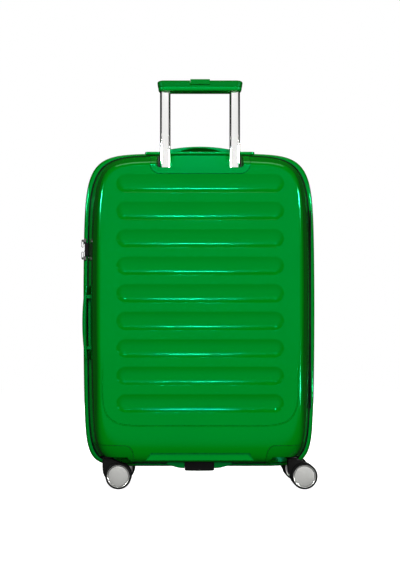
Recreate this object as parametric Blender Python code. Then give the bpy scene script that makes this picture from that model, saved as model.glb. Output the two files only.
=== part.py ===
"""A hard-shell spinner suitcase with a telescopic trolley.

Metres, +Z up. The rear of the case, with the trolley, faces -Y, and the lid half faces +Y.
The origin is on the floor under the middle of the case, and the parting plane of the two halves is y = 0.
"""

import math

import bmesh
import bpy
from mathutils import Vector

# Clearances and walls
GAP = 0.0003
WALL = 0.0026
FABRIC = 0.0010
PROUD = 0.0006

# The case: sections of each half from its mouth to its shoulder, as distance from the parting plane,
# half width, top, bottom, and the squareness of the upper and of the lower corners
REAR_SECTIONS = (
    (0.0055, 0.2205, 0.6535, 0.0430, 7.2, 10.8),
    (0.0600, 0.2120, 0.6440, 0.0470, 7.2, 10.5),
    (0.0950, 0.2065, 0.6380, 0.0515, 7.5, 10.0),
)
REAR_PANEL = (0.1270, 0.1900, 0.6210, 0.1210, 9.0, 9.0)
FRONT_SECTIONS = (
    (0.0055, 0.2325, 0.6625, 0.0335, 7.7, 10.8),
    (0.0600, 0.2245, 0.6550, 0.0375, 7.6, 10.5),
    (0.0950, 0.2180, 0.6490, 0.0430, 7.5, 10.0),
)
FRONT_PANEL = (0.1270, 0.1960, 0.6270, 0.1150, 9.0, 9.0)
MOUTH = (0.2145, 0.6475, 0.0490, 7.2, 10.8)
LIP = 0.0020
CROWN = 0.004
BARREL = 0.024
REAR = (-1, REAR_SECTIONS, REAR_PANEL)
FRONT = (1, FRONT_SECTIONS, FRONT_PANEL)
OUTLINE_POINTS = 40
LINING_POINTS = 24
EDGE_STEPS = 4

# Nine channels pressed into each panel
CHANNELS = 9
CHANNEL_TOP = 0.5805
CHANNEL_PITCH = 0.0518
CHANNEL_HALF_LENGTH = 0.1575
CHANNEL_RADIUS = 0.0170
CHANNEL_DEPTH = 0.0045

# Trolley
TUBE_X = 0.066
TUBE_Y = -0.108
INNER_TUBE = (0.0200, 0.0110)
TUBE_WALL = 0.0012
STAGE_STEP = 2 * (TUBE_WALL + GAP)
POCKET_HALF = 0.0825
POCKET_FLOOR = 0.6105
BEZEL_HALF = 0.0940
BEZEL_LOW = 0.5990
FLOOR_PLATE = 0.0040
GRIP_BOTTOM = 0.7560
GRIP_SPLIT = 0.7640
GRIP_TOP = 0.7752
BUTTON_TOP = 0.7778
TUBE_TOP = 0.7615
BUTTON_HALF = 0.0185

# Casters
PIN_X = 0.178
PIN_Y = 0.080
TRAIL = 0.022
WHEEL_RADIUS = 0.025
WELL_RADIUS = 0.0525
WELL_TOP = 0.0625
GUARD_TOP = 0.0874
WHEEL_IN = 0.0080
WHEEL_OUT = 0.0210
WHEEL_STEPS = 24

# Side handle, top handle, lock and zip
SIDE_Z = 0.321
LOCK_LOW = 0.4555
LOCK_HIGH = 0.4805
LOCK_MIDDLE = (LOCK_LOW + LOCK_HIGH) / 2
DIAL_RADIUS = 0.0058
DIAL_X = -0.2246
HINGE_X = 0.2315

# Name, colour, roughness and metallic value of each material
FINISHES = {
    "shell_green": ((0.010, 0.330, 0.060, 1), 0.28, 0.0),
    "moulding_green": ((0.008, 0.200, 0.045, 1), 0.38, 0.0),
    "black_plastic": ((0.012, 0.012, 0.013, 1), 0.45, 0.0),
    "lining_grey": ((0.060, 0.062, 0.066, 1), 0.85, 0.0),
    "zip_black": ((0.010, 0.010, 0.010, 1), 0.80, 0.0),
    "tube_aluminium": ((0.800, 0.800, 0.790, 1), 0.30, 1.0),
    "metal_chrome": ((0.750, 0.750, 0.740, 1), 0.20, 1.0),
    "wheel_grey": ((0.350, 0.350, 0.340, 1), 0.40, 0.2),
}


# ---------------------------------------------------------------- tools


def clear_scene():
    for old in list(bpy.data.objects):
        bpy.data.objects.remove(old, do_unlink=True)


def make_materials():
    """One Principled material for each finish."""
    made = {}
    for name, (colour, roughness, metallic) in FINISHES.items():
        material = bpy.data.materials.new(name)
        material.use_nodes = True
        shader = material.node_tree.nodes["Principled BSDF"]
        shader.inputs["Base Color"].default_value = colour
        shader.inputs["Roughness"].default_value = roughness
        shader.inputs["Metallic"].default_value = metallic
        made[name] = material
    return made


def add_solid(name, bm, finish=None):
    """Turns a closed bmesh into an object with its faces outwards. Without a finish it is a cutter."""
    bmesh.ops.recalc_face_normals(bm, faces=bm.faces)
    if bm.calc_volume(signed=True) < 0:
        bmesh.ops.reverse_faces(bm, faces=bm.faces)
    mesh = bpy.data.meshes.new(name)
    bm.to_mesh(mesh)
    bm.free()
    solid = bpy.data.objects.new(name, mesh)
    bpy.context.scene.collection.objects.link(solid)
    if finish is None:
        solid.hide_render = True
        solid.display_type = "WIRE"
    else:
        mesh.materials.append(MATERIALS[finish])
    return solid


def boolean(solid, other, operation):
    step = solid.modifiers.new(other.name, "BOOLEAN")
    step.operation = operation
    step.object = other
    return solid


def cut(solid, *cutters):
    for cutter in cutters:
        boolean(solid, cutter, "DIFFERENCE")
    return solid


def join(solid, *others):
    for other in others:
        boolean(solid, other, "UNION")
    return solid


def smooth(solid, degrees=35):
    """Shades a round piece smooth, except at its sharp edges."""
    solid.data.shade_smooth()
    solid.data.set_sharp_from_angle(angle=math.radians(degrees))
    return solid


def set_origin(solid, point):
    """Moves an object's origin to a point on its joint's axis, leaving its shape in place."""
    shift = Vector(point)
    for vertex in solid.data.vertices:
        vertex.co -= shift
    solid.location = shift
    return solid


def box(name, low, high, finish=None):
    bm = bmesh.new()
    bmesh.ops.create_cube(bm, size=1)
    middle = (Vector(low) + Vector(high)) / 2
    size = Vector(high) - Vector(low)
    bmesh.ops.scale(bm, vec=size, verts=bm.verts)
    bmesh.ops.translate(bm, vec=middle, verts=bm.verts)
    return add_solid(name, bm, finish)


def loft(name, rings, finish=None):
    """A closed solid through a row of loops that have the same number of points."""
    bm = bmesh.new()
    rows = [[bm.verts.new(point) for point in ring] for ring in rings]
    count = len(rows[0])
    for near, far in zip(rows, rows[1:]):
        for i in range(count):
            j = (i + 1) % count
            bm.faces.new((near[i], near[j], far[j], far[i]))
    bm.faces.new(rows[0][::-1])
    bm.faces.new(rows[-1])
    return add_solid(name, bm, finish)


def band(name, outer, inner, shift, finish=None):
    """A ring or a pipe: the strip between two loops, carried along shift."""
    bm = bmesh.new()
    count = len(outer)
    loops = (outer, inner, [p + shift for p in inner], [p + shift for p in outer])
    rows = [[bm.verts.new(point) for point in loop] for loop in loops]
    for near, far in zip(rows, rows[1:] + rows[:1]):
        for i in range(count):
            j = (i + 1) % count
            bm.faces.new((near[i], near[j], far[j], far[i]))
    return add_solid(name, bm, finish)


def along(axis, first, second, depth):
    """A point from two outline coordinates and one depth, with the depth along X, Y or Z."""
    return {
        "X": Vector((depth, first, second)),
        "Y": Vector((first, depth, second)),
        "Z": Vector((first, second, depth)),
    }[axis]


def prism(name, outline, axis, start, end, finish=None):
    rings = [[along(axis, a, b, depth) for a, b in outline] for depth in (start, end)]
    return loft(name, rings, finish)


def turned(name, profile, axis, centre, steps, finish=None):
    """A profile of (radius, distance) pairs turned round an axis, with a flat facet turned down."""
    bm = bmesh.new()
    stretch = 1 / math.cos(math.pi / steps)
    rows = []
    for radius, distance in profile:
        if radius == 0:
            rows.append([bm.verts.new(Vector(centre) + along(axis, 0, 0, distance))])
            continue
        row = []
        for step in range(steps):
            angle = math.tau * (step + 0.5) / steps
            first = radius * stretch * math.cos(angle)
            second = radius * stretch * math.sin(angle)
            row.append(bm.verts.new(Vector(centre) + along(axis, first, second, distance)))
        rows.append(row)
    for near, far in zip(rows, rows[1:]):
        for i in range(steps):
            j = (i + 1) % steps
            corners = [near[i % len(near)], near[j % len(near)], far[j % len(far)], far[i % len(far)]]
            bm.faces.new(list(dict.fromkeys(corners)))
    return add_solid(name, bm, finish)


def drum(name, radius, axis, centre, start, end, steps=24, finish=None):
    profile = ((0, start), (radius, start), (radius, end), (0, end))
    return turned(name, profile, axis, centre, steps, finish)


def round_rect(half_a, half_b, radius, steps=3, middle=(0.0, 0.0)):
    """Outline of a rectangle with rounded corners."""
    outline = []
    for corner, (sign_a, sign_b) in enumerate(((1, 1), (-1, 1), (-1, -1), (1, -1))):
        for step in range(steps + 1):
            angle = math.pi / 2 * (corner + step / steps)
            a = sign_a * (half_a - radius) + radius * math.cos(angle)
            b = sign_b * (half_b - radius) + radius * math.sin(angle)
            outline.append((middle[0] + a, middle[1] + b))
    return outline


# ---------------------------------------------------------------- the two halves


def case_outline(y, half_width, top, bottom, upper, lower, points=OUTLINE_POINTS):
    """A superellipse across the case, with slightly barrelled sides and a slightly crowned top."""
    middle = (top + bottom) / 2
    half_height = (top - bottom) / 2
    loop = []
    for step in range(points):
        angle = math.tau * (step + 0.5) / points
        c = math.cos(angle)
        s = math.sin(angle)
        power = upper if s > 0 else lower
        across = math.copysign(abs(c) ** (2 / power), c)
        up = math.copysign(abs(s) ** (2 / power), s)
        x = half_width * across * (1 - BARREL * up * up)
        z = middle + half_height * up - CROWN * across * across * max(up, 0)
        loop.append(Vector((x, y, z)))
    return loop


def half_rings(half, inset=0.0, panel_inset=None, start=None, points=OUTLINE_POINTS):
    """Loops of one half from its mouth, or from start, to its panel, moved inwards by inset.

    The edge of the panel is a quadratic curve, tangent to the side and to the panel.
    """
    side, sections, panel = half
    panel_inset = inset if panel_inset is None else panel_inset
    rings = []
    for y, width, top, bottom, *corners in sections:
        edge = (width - inset, top - inset, bottom + inset, *corners)
        rings.append(case_outline(side * y, *edge, points))
    shoulder = (sections[-1][0], sections[-1][1] - inset, sections[-1][2] - inset, sections[-1][3] + inset)
    before = sections[-2]
    edge = panel[0] - panel_inset
    share = (edge - sections[-1][0]) / (sections[-1][0] - before[0])
    bend = [shoulder[i] + share * (sections[-1][i] - before[i]) for i in range(4)]
    end = (edge, *panel[1:4])
    for step in range(1, EDGE_STEPS + 1):
        t = step / EDGE_STEPS
        y, width, top, bottom = (
            (1 - t) ** 2 * shoulder[i] + 2 * t * (1 - t) * bend[i] + t * t * end[i] for i in range(4)
        )
        corners = [a + (b - a) * t for a, b in zip(sections[-1][4:], panel[4:])]
        rings.append(case_outline(side * y, width, top, bottom, *corners, points))
    if start is not None:
        for point in rings[0]:
            point.y = side * start
    return rings


def cavity_rings(half):
    """Loops of the space inside a shell: a narrower mouth, past the lip that the zip is sewn to, then the walls."""
    side, sections, _ = half
    edge = sections[0][0] + LIP
    neck = [case_outline(side * y, *MOUTH) for y in (-0.004, edge)]
    return [*neck, *half_rings(half, WALL, start=edge)]


def channel_cutter(name, half, grow=0.0):
    """The nine channels of a panel as one cutter, or their inner bulges when grown."""
    side, _, panel = half
    floor = panel[0] - CHANNEL_DEPTH - grow
    radius = CHANNEL_RADIUS + grow
    straight = CHANNEL_HALF_LENGTH - CHANNEL_RADIUS
    bm = bmesh.new()
    for number in range(CHANNELS):
        middle = (0, CHANNEL_TOP - CHANNEL_PITCH * number)
        outline = round_rect(straight + radius, radius, radius, 3 if grow else 4, middle)
        loops = [
            [bm.verts.new((x, side * y, z)) for x, z in outline] for y in (panel[0] + 0.004, floor)
        ]
        count = len(outline)
        for i in range(count):
            j = (i + 1) % count
            bm.faces.new((loops[0][i], loops[0][j], loops[1][j], loops[1][i]))
        bm.faces.new(loops[0])
        bm.faces.new(loops[1])
    bmesh.ops.remove_doubles(bm, verts=bm.verts, dist=1e-6)
    return add_solid(name, bm)


def guard_outline(hand, grow=0.0):
    """Where a corner guard meets its shell, seen from behind."""
    inner = (
        (0.1385 - grow, 0.0850 + grow),
        (0.1330 - grow, 0.0815 + grow),
        (0.1290 - grow, 0.0760 + grow),
        (0.1268 - grow, 0.0690),
        (0.1222 - grow, 0.0400),
        (0.1222 - grow, 0.0),
    )
    outline = [(0.3, 0.0), (0.3, GUARD_TOP + grow), *inner]
    return [(hand * x, z) for x, z in outline]


def guard_cutters(half, name, grow=0.0):
    side = half[0]
    cutters = []
    for hand, label in ((-1, "left"), (1, "right")):
        cutter_name = f"{name}_{label}"
        outline = guard_outline(hand, grow)
        inner = side * (0.0243 - grow)
        cutters.append(prism(cutter_name, outline, "Y", side * 0.14, inner))
    return cutters


def make_rear_shell():
    cavity = loft("rear_cavity", cavity_rings(REAR))
    cut(
        cavity,
        channel_cutter("rear_channel_bulges", REAR, WALL),
        scoop_cutter("scoop_bulge", WALL),
        top_recess("top_recess_bulge", WALL),
        side_recess("side_recess_bulge", WALL),
    )
    shell = loft("rear_shell", half_rings(REAR), "shell_green")
    cut(
        shell,
        cavity,
        channel_cutter("rear_channels", REAR),
        scoop_cutter("scoop"),
        top_recess("top_recess"),
        side_recess("side_recess"),
        bezel_block("bezel_window", GAP),
        *guard_cutters(REAR, "rear_guard_window", GAP),
        *leg_windows(),
    )
    return smooth(shell)


def make_front_shell():
    cavity = loft("front_cavity", cavity_rings(FRONT))
    cut(cavity, channel_cutter("front_channel_bulges", FRONT, WALL))
    shell = loft("front_shell", half_rings(FRONT), "shell_green")
    cut(
        shell,
        cavity,
        channel_cutter("front_channels", FRONT),
        lock_window(),
        *guard_cutters(FRONT, "front_guard_window", GAP),
    )
    return smooth(shell)


def scoop_cutter(name, grow=0.0):
    """The hand-hold pressed into the lower edge of the rear shell."""
    top = 0.071 + grow
    outline = [(-0.093 - grow, top), (0.093 + grow, top), (0.108 + grow, 0.048), (0.108 + grow, 0.02)]
    outline += [(-0.108 - grow, 0.02), (-0.108 - grow, 0.048)]
    return prism(name, outline, "Y", -0.14, -0.1075 + grow)


def top_recess(name, grow=0.0):
    low = (-0.0660 - grow, -0.0785 - grow, 0.6200 - grow)
    high = (0.0660 + grow, -0.0515 + grow, 0.6700)
    return box(name, low, high)


def side_recess(name, grow=0.0):
    low = (-0.2400, -0.0580 - grow, 0.2620 - grow)
    high = (-0.2105 + grow, -0.0095 + grow, 0.3800 + grow)
    return box(name, low, high)


def leg_windows():
    """Holes in the floor of the side recess for the two wells of the side handle's cup."""
    windows = []
    for label, low, high in (("low", 0.2637, 0.2793), ("high", 0.3627, 0.3783)):
        corner = (-0.2130, -0.0383, low)
        windows.append(box(f"leg_window_{label}", corner, (-0.2030, -0.0117, high)))
    return windows


# ---------------------------------------------------------------- linings and inner fittings


def lining_keep_outs(half, name, grow=0.0):
    """Solids that a lining goes round: wheel wells, trolley tunnel, handle cups and lock."""
    side = half[0]
    keep = []
    for hand, label in ((-1, "left"), (1, "right")):
        centre = (hand * PIN_X, side * PIN_Y, 0)
        top = 0.0745 + grow
        keep.append(drum(f"{name}_well_{label}", 0.0575 + grow, "Z", centre, 0, top, 24))
    if half is REAR:
        tunnel = ((-0.0960 - grow, -0.14, 0.0), (0.0960 + grow, -0.0858 + grow, 0.7))
        scoop = ((-0.1120 - grow, -0.14, 0.0), (0.1120 + grow, -0.1035 + grow, 0.0750 + grow))
        top = ((-0.0705 - grow, -0.0832 - grow, 0.6155 - grow), (0.0705 + grow, -0.0468 + grow, 0.7))
        cup = ((-0.24, -0.0625 - grow, 0.2575 - grow), (-0.1948 + grow, -0.0050 + grow, 0.3845 + grow))
        for label, corners in (("tunnel", tunnel), ("scoop", scoop), ("top", top), ("cup", cup)):
            keep.append(box(f"{name}_{label}", *corners))
    else:
        lock = ((-0.24, 0.001, 0.4480 - grow), (-0.2120 + grow, 0.0540 + grow, 0.4880 + grow))
        keep.append(box(f"{name}_lock", *lock))
    return keep


def make_lining(half, name):
    """The thin fabric pan that lines one half."""
    inset = WALL + 0.0008
    deep = 0.0085
    rim = half[1][0][0] + LIP + GAP
    inner = half_rings(half, inset + FABRIC, deep + FABRIC, -0.004, LINING_POINTS)
    outer = half_rings(half, inset, deep, rim, LINING_POINTS)
    room = loft(f"{name}_room", inner)
    cut(room, *lining_keep_outs(half, f"{name}_inner", FABRIC))
    lining = loft(name, outer, "lining_grey")
    cut(lining, *lining_keep_outs(half, f"{name}_outer"))
    return smooth(cut(lining, room))


def make_packing_straps():
    """Two elastic straps that cross over the packed rear half, and their buckle."""
    half_width = 0.0170
    strap = None
    for hand in (-1, 1):
        low = (-hand * 0.2060, 0.1550)
        high = (hand * 0.2060, 0.5450)
        outline = [(x, z + way * half_width) for way in (-1, 1) for x, z in (low, high)[::-way]]
        finish = "zip_black" if strap is None else None
        name = "packing_straps" if strap is None else "second_strap"
        piece = prism(name, outline, "Y", -0.0105, -0.0090, finish)
        strap = piece if strap is None else join(strap, piece)
    outline = round_rect(0.024, 0.017, 0.004, 2, (0, 0.35))
    return prism("strap_buckle", outline, "Y", -0.0087, -0.0045, "black_plastic")


def make_lid_pocket():
    outline = round_rect(0.160, 0.215, 0.030, 3, (0, 0.345))
    return prism("lid_pocket", outline, "Y", 0.1090, 0.1165, "lining_grey")


def make_zip_tapes():
    for half, name, proud in ((REAR, "zip_tape_rear", 0.0010), (FRONT, "zip_tape_front", 0.0030)):
        side = half[0]
        _, width, top, bottom, *corners = REAR_SECTIONS[0]
        start = side * (REAR_SECTIONS[0][0] - GAP)
        outer = case_outline(start, width + proud, top + proud, bottom - proud, *corners)
        inner = case_outline(start, width - 0.006, top - 0.006, bottom + 0.006, *corners)
        shift = Vector((0, side * GAP - start, 0))
        smooth(band(name, outer, inner, shift, "zip_black"))


def make_hinge_gusset():
    low = (0.2219, -0.0052, 0.150)
    return box("hinge_gusset", low, (0.2245, -0.0006, 0.545), "zip_black")


# ---------------------------------------------------------------- trolley


def u_outline(half, low, radius):
    """Outline of a U: straight sides up to above the case, and rounded lower corners."""
    outline = [(half, 0.70), (-half, 0.70)]
    for hand, start in ((-1, math.pi), (1, 1.5 * math.pi)):
        for step in range(5):
            angle = start + math.pi / 2 * step / 4
            x = hand * (half - radius) + radius * math.cos(angle)
            outline.append((x, low + radius + radius * math.sin(angle)))
    return outline


def bezel_block(name, grow=0.0, finish=None):
    """The U-shaped block that the bezel fills, open at the top and the rear."""
    outline = u_outline(BEZEL_HALF + grow, BEZEL_LOW - grow, 0.0180)
    return prism(name, outline, "Y", -0.14, -0.0865 + grow, finish)


def tube_outline(stage, z, wall=0.0):
    """Stage 0 is the inner tube, 1 the middle one and 2 the outer one."""
    half_a = (INNER_TUBE[0] + stage * STAGE_STEP) / 2 - wall
    half_b = (INNER_TUBE[1] + stage * STAGE_STEP) / 2 - wall
    outline = round_rect(half_a, half_b, half_b * 0.8, 3)
    return [Vector((a, b, z)) for a, b in outline]


def make_tube(name, stage, hand, bottom, top):
    middle = Vector((hand * TUBE_X, TUBE_Y, 0))
    outer = [point + middle for point in tube_outline(stage, bottom)]
    inner = [point + middle for point in tube_outline(stage, bottom, TUBE_WALL)]
    return smooth(band(name, outer, inner, Vector((0, 0, top - bottom)), "tube_aluminium"))


def tube_hole(name, stage, hand, bottom, top):
    """A hole that a tube of this stage slides through."""
    middle = Vector((hand * TUBE_X, TUBE_Y, 0))
    rings = [[p + middle for p in tube_outline(stage, z, -GAP)] for z in (bottom, top)]
    return loft(name, rings)


def make_bezel():
    bezel = bezel_block("trolley_bezel", finish="moulding_green")
    body = loft("bezel_envelope", half_rings(REAR, -PROUD))
    boolean(bezel, body, "INTERSECT")
    floor = POCKET_FLOOR
    wide = prism("pocket_wide", u_outline(POCKET_HALF, floor, 0.0050), "Y", -0.15, -0.0925)
    sides = []
    for hand, label in ((-1, "left"), (1, "right")):
        x = sorted((hand * 0.049, hand * (POCKET_HALF - 0.005)))
        sides.append(box(f"pocket_{label}", (x[0], -0.10, floor), (x[1], -0.0895, 0.75)))
        sides.append(tube_hole(f"tube_hole_{label}", 1, hand, 0.55, 0.65))
    under_top = floor - FLOOR_PLATE
    under = box("bezel_underside", (-0.0905, -0.1243, 0.55), (0.0905, -0.08, under_top))
    cut(bezel, wide, *sides, under)
    neck = box("bezel_neck", (-0.0900, -0.0895, 0.6300), (0.0900, -0.0868, 0.6430))
    outline = round_rect(0.105, 0.0060, 0.0059, 4, (0, -0.0860))
    return smooth(join(bezel, neck, prism("bezel_flange", outline, "Z", 0.6411, 0.6465)))


def make_trolley():
    make_bezel()
    plate_under = POCKET_FLOOR - FLOOR_PLATE
    for hand, label in ((-1, "left"), (1, "right")):
        make_tube(f"outer_tube_{label}", 2, hand, 0.0980, plate_under - GAP)
        make_tube(f"mid_tube_{label}", 1, hand, 0.1040, POCKET_FLOOR - 0.0005)
        make_tube(f"inner_tube_{label}", 0, hand, 0.2550, TUBE_TOP)
    box("tube_foot_bracket", (-0.083, -0.1155, 0.0800), (0.083, -0.0995, 0.0977), "black_plastic")
    make_grip()


def grip_ring(half_x, half_y, z):
    outline = round_rect(half_x, half_y, min(0.011, half_y - 0.001), 3, (0, TUBE_Y))
    return [Vector((x, y, z)) for x, y in outline]


def make_grip():
    lower = (grip_ring(0.0735, 0.0125, GRIP_BOTTOM), grip_ring(0.0770, 0.0146, 0.7585))
    base = loft("grip_base", (*lower, grip_ring(0.0795, 0.0150, GRIP_SPLIT - GAP)), "moulding_green")
    room = box("grip_base_room", (-0.0765, -0.1205, 0.7585), (0.0765, -0.0955, 0.79))
    for hand, label in ((-1, "left"), (1, "right")):
        join(base, drum(f"grip_stop_{label}", 0.0030, "Z", (hand * 0.037, TUBE_Y, 0), 0.7550, 0.7570, 12))
    cut(base, room)
    for hand, label in ((-1, "left"), (1, "right")):
        cut(base, tube_hole(f"grip_hole_{label}", 0, hand, 0.74, 0.79))
    smooth(base)
    upper = (grip_ring(0.0795, 0.0150, GRIP_SPLIT), grip_ring(0.0808, 0.0150, 0.7700))
    crown = (grip_ring(0.0800, 0.0138, 0.7735), grip_ring(0.0765, 0.0105, GRIP_TOP))
    cover = loft("grip_cover", (*upper, *crown, grip_ring(0.0400, 0.0085, 0.7768)), "moulding_green")
    hollow = box("grip_cover_room", (-0.0765, -0.1205, 0.76), (0.0765, -0.0955, 0.7730))
    half = BUTTON_HALF + GAP
    slot = box("button_slot", (-half, -0.1300, 0.7674), (half, -0.1020 + GAP, 0.79))
    groove = box("button_groove", (-half, -0.1300, 0.7600), (half, -0.1226, 0.7680))
    smooth(cut(cover, hollow, slot, groove))
    make_grip_button()


def make_grip_button():
    """The press button, and the yoke whose two rods run down the inner tubes to their locks."""
    top = ((-BUTTON_HALF, -0.1227, 0.7720), (BUTTON_HALF, -0.1020, BUTTON_TOP))
    button = box("grip_button", *top, "moulding_green")
    tab = box("button_tab", (-BUTTON_HALF, -0.1242, 0.7677), (BUTTON_HALF, -0.1229, BUTTON_TOP - 0.0004))
    bridge = box("button_bridge", (-BUTTON_HALF, -0.1235, 0.7721), (BUTTON_HALF, -0.1220, 0.7770))
    stem = box("button_stem", (-0.0060, -0.1110, 0.7694), (0.0060, -0.1050, 0.7730))
    set_origin(join(button, bridge, tab, stem), (0, TUBE_Y, BUTTON_TOP))
    bar = ((-0.0690, -0.1105, 0.7660), (0.0690, -0.1055, 0.7690))
    yoke = box("release_yoke", *bar, "metal_chrome")
    for hand, label in ((-1, "left"), (1, "right")):
        x = hand * TUBE_X
        join(yoke, box(f"rod_{label}", (x - 0.003, -0.1105, 0.2700), (x + 0.003, -0.1055, 0.7670)))
    return yoke


# ---------------------------------------------------------------- carry handles


def make_top_handle():
    """A low arch that lifts out of a black cup in the top of the rear shell."""
    low = (-0.0657, -0.0782, 0.6203)
    cup = box("top_handle_cup", low, (0.0657, -0.0518, 0.6400), "black_plastic")
    room = box("top_cup_room", (-0.0645, -0.0770, 0.6215), (0.0645, -0.0530, 0.6385))
    mouth = box("top_cup_mouth", (-0.0608, -0.0770, 0.6300), (0.0608, -0.0530, 0.66))
    cut(cup, room, mouth)
    arch = []
    for step in range(13):
        x = -0.068 + 0.136 * step / 12
        arch.append((x, 0.6593 - 0.0051 * (x / 0.057) ** 2))
    leg = [(0.0680, 0.6475), (0.0600, 0.6475), (0.0600, 0.6260), (0.0635, 0.6260), (0.0635, 0.6235)]
    leg += [(0.0520, 0.6235), (0.0520, 0.6475)]
    under = [(x, 0.6560 - 0.0045 * (x / 0.031) ** 2) for x in (0.0420, 0.0310, 0.0160)]
    half = [*leg, *under]
    outline = [*arch, *half, (0.0, 0.6560), *[(-x, z) for x, z in half[::-1]]]
    handle = prism("top_handle", outline, "Y", -0.0760, -0.0540, "moulding_green")
    return set_origin(smooth(handle), (0, -0.065, 0.6593))


def make_side_handle():
    """A bowed grip on the left side, whose legs slide in the wells of a black cup."""
    plate = ((-0.2120, -0.0577, 0.2623), (-0.2108, -0.0098, 0.3797))
    cup = box("side_handle_cup", *plate, "black_plastic")
    spans = (("low", 0.2640, 0.2790), ("high", 0.3630, 0.3780))
    for label, low, high in spans:
        well = box(f"cup_well_{label}", (-0.2115, -0.0380, low), (-0.1965, -0.0120, high))
        join(cup, well)
    for label, low, high in spans:
        room = ((-0.2107, -0.0368, low + 0.0012), (-0.1977, -0.0132, high - 0.0012))
        cut(cup, box(f"cup_well_room_{label}", *room))
    for label, low, high in (("low", 0.2652, 0.2748), ("high", 0.3672, 0.3768)):
        cut(cup, box(f"cup_slot_{label}", (-0.22, -0.0368, low), (-0.2090, -0.0132, high)))
    half = 0.0740
    outer = []
    for step in range(9):
        offset = -half + 2 * half * step / 8
        outer.append((-0.2300 + 0.0055 * (offset / half) ** 2, SIDE_Z + offset))
    foot = (-0.2002, -0.1984)
    upper = [(None, 0.0740), (None, 0.0535), (foot[1], 0.0535), (foot[1], 0.0440)]
    upper += [(foot[0], 0.0440), (foot[0], 0.0470), (None, 0.0470), (None, 0.0240)]
    path = [*upper, (None, 0.0), *[(x, -offset) for x, offset in upper[::-1]]]
    inner = []
    for x, offset in path:
        face = -0.2228 + 0.0029 * (offset / half) ** 2
        inner.append((face if x is None else x, SIDE_Z + offset))
    handle = prism("side_handle", [*outer, *inner], "Y", -0.0360, -0.0140, "moulding_green")
    return set_origin(smooth(handle), (-0.2300, -0.025, SIDE_Z))


def bottom_foot(name, low, ends, finish=None):
    """A foot of the given lower outline, whose top follows the underside of the rear shell."""
    half = low[-1][0]
    rings = []
    for y, top in ends:
        rings.append([Vector((x, y, z)) for x, z in ((-half, top), *low, (half, top))])
    return loft(name, rings, finish)


def make_bottom_grip():
    low = ((-0.064, 0.0415), (-0.036, 0.0345), (0.036, 0.0345), (0.064, 0.0415))
    base = bottom_foot("bottom_grip_base", low, ((-0.0140, 0.0433), (-0.0460, 0.0456)), "moulding_green")
    cut(base, box("bottom_grip_notch", (-0.0293, -0.05, 0.03), (0.0293, -0.0277, 0.05)))
    low = ((-0.029, 0.0325), (-0.026, 0.0300), (0.026, 0.0300), (0.029, 0.0325))
    return bottom_foot("bottom_grip", low, ((-0.0280, 0.0442), (-0.0470, 0.0457)), "black_plastic")


# ---------------------------------------------------------------- lock and zip


def lock_window():
    """The notch in the front shell's edge that the lock fills."""
    low = (-0.2400, 0.0020, LOCK_LOW - GAP)
    return box("lock_window", low, (-0.2100, 0.0500 + GAP, LOCK_HIGH + GAP))


def make_lock():
    body = box("lock_body", (-0.2290, 0.0058, LOCK_LOW), (-0.2150, 0.0500, LOCK_HIGH), "black_plastic")
    for number in range(3):
        y = 0.0225 + 0.0080 * number
        slot = ((-0.2400, y - 0.0026, LOCK_MIDDLE - 0.0066), (-0.2178, y + 0.0026, LOCK_MIDDLE + 0.0066))
        cut(body, box(f"dial_slot_{number + 1}", *slot))
        centre = (DIAL_X, y, LOCK_MIDDLE)
        dial = drum(f"lock_dial_{number + 1}", DIAL_RADIUS, "Y", centre, -0.0021, 0.0021, 16, "metal_chrome")
        set_origin(smooth(dial), centre)
    track = ((-0.2400, 0.0085, LOCK_MIDDLE - 0.0080), (-0.2270, 0.0165, LOCK_MIDDLE + 0.0080))
    cut(body, box("release_track", *track))
    low = (-0.2305, 0.0088, LOCK_MIDDLE - 0.0077)
    release = box("lock_release", low, (-0.2273, 0.0162, LOCK_MIDDLE + 0.0023), "metal_chrome")
    set_origin(release, (-0.2305, 0.0125, LOCK_MIDDLE - 0.0027))
    low = (-0.2282, -0.0052, LOCK_LOW)
    box("lock_catch", low, (-0.2222, -0.0006, LOCK_HIGH), "black_plastic")


def make_zip_sliders():
    """Two sliders meet at the lock, each with a looped pull on a cross pin."""
    for label, way in (("upper", 1), ("lower", -1)):
        start = LOCK_HIGH + 0.0007 if way > 0 else LOCK_LOW - 0.0007
        end = start + way * 0.0090
        pivot = (-0.2328, start + way * 0.0045)
        z = sorted((start, end))
        slider = box(f"zip_slider_{label}", (-0.2300, 0.0006, z[0]), (-0.2252, 0.0050, z[1]), "metal_chrome")
        for ear, y in (("near", 0.0006), ("far", 0.0040)):
            low = (-0.2340, y, pivot[1] - 0.0014)
            join(slider, box(f"ear_{ear}_{label}", low, (-0.2295, y + 0.0010, pivot[1] + 0.0014)))
        pin = ((pivot[0] - 0.0006, 0.0009, pivot[1] - 0.0006), (pivot[0] + 0.0006, 0.0047, pivot[1] + 0.0006))
        join(slider, box(f"pull_pin_{label}", *pin))
        reach = 0.0110
        centre = (pivot[0], pivot[1] - way * reach / 2)
        outline = round_rect(0.0025, 0.0025 + reach / 2, 0.0025, 3, centre)
        hole = round_rect(0.0013, 0.0013 + reach / 2, 0.0013, 3, centre)
        rings = [[Vector((x, 0.0019, z)) for x, z in loop] for loop in (outline, hole)]
        pull = band(f"zip_pull_{label}", *rings, Vector((0, 0.0018, 0)), "metal_chrome")
        set_origin(smooth(pull), (pivot[0], 0.0028, pivot[1]))
        set_origin(slider, (-0.2276, 0.0028, (start + end) / 2))


# ---------------------------------------------------------------- corner guards and casters


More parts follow.
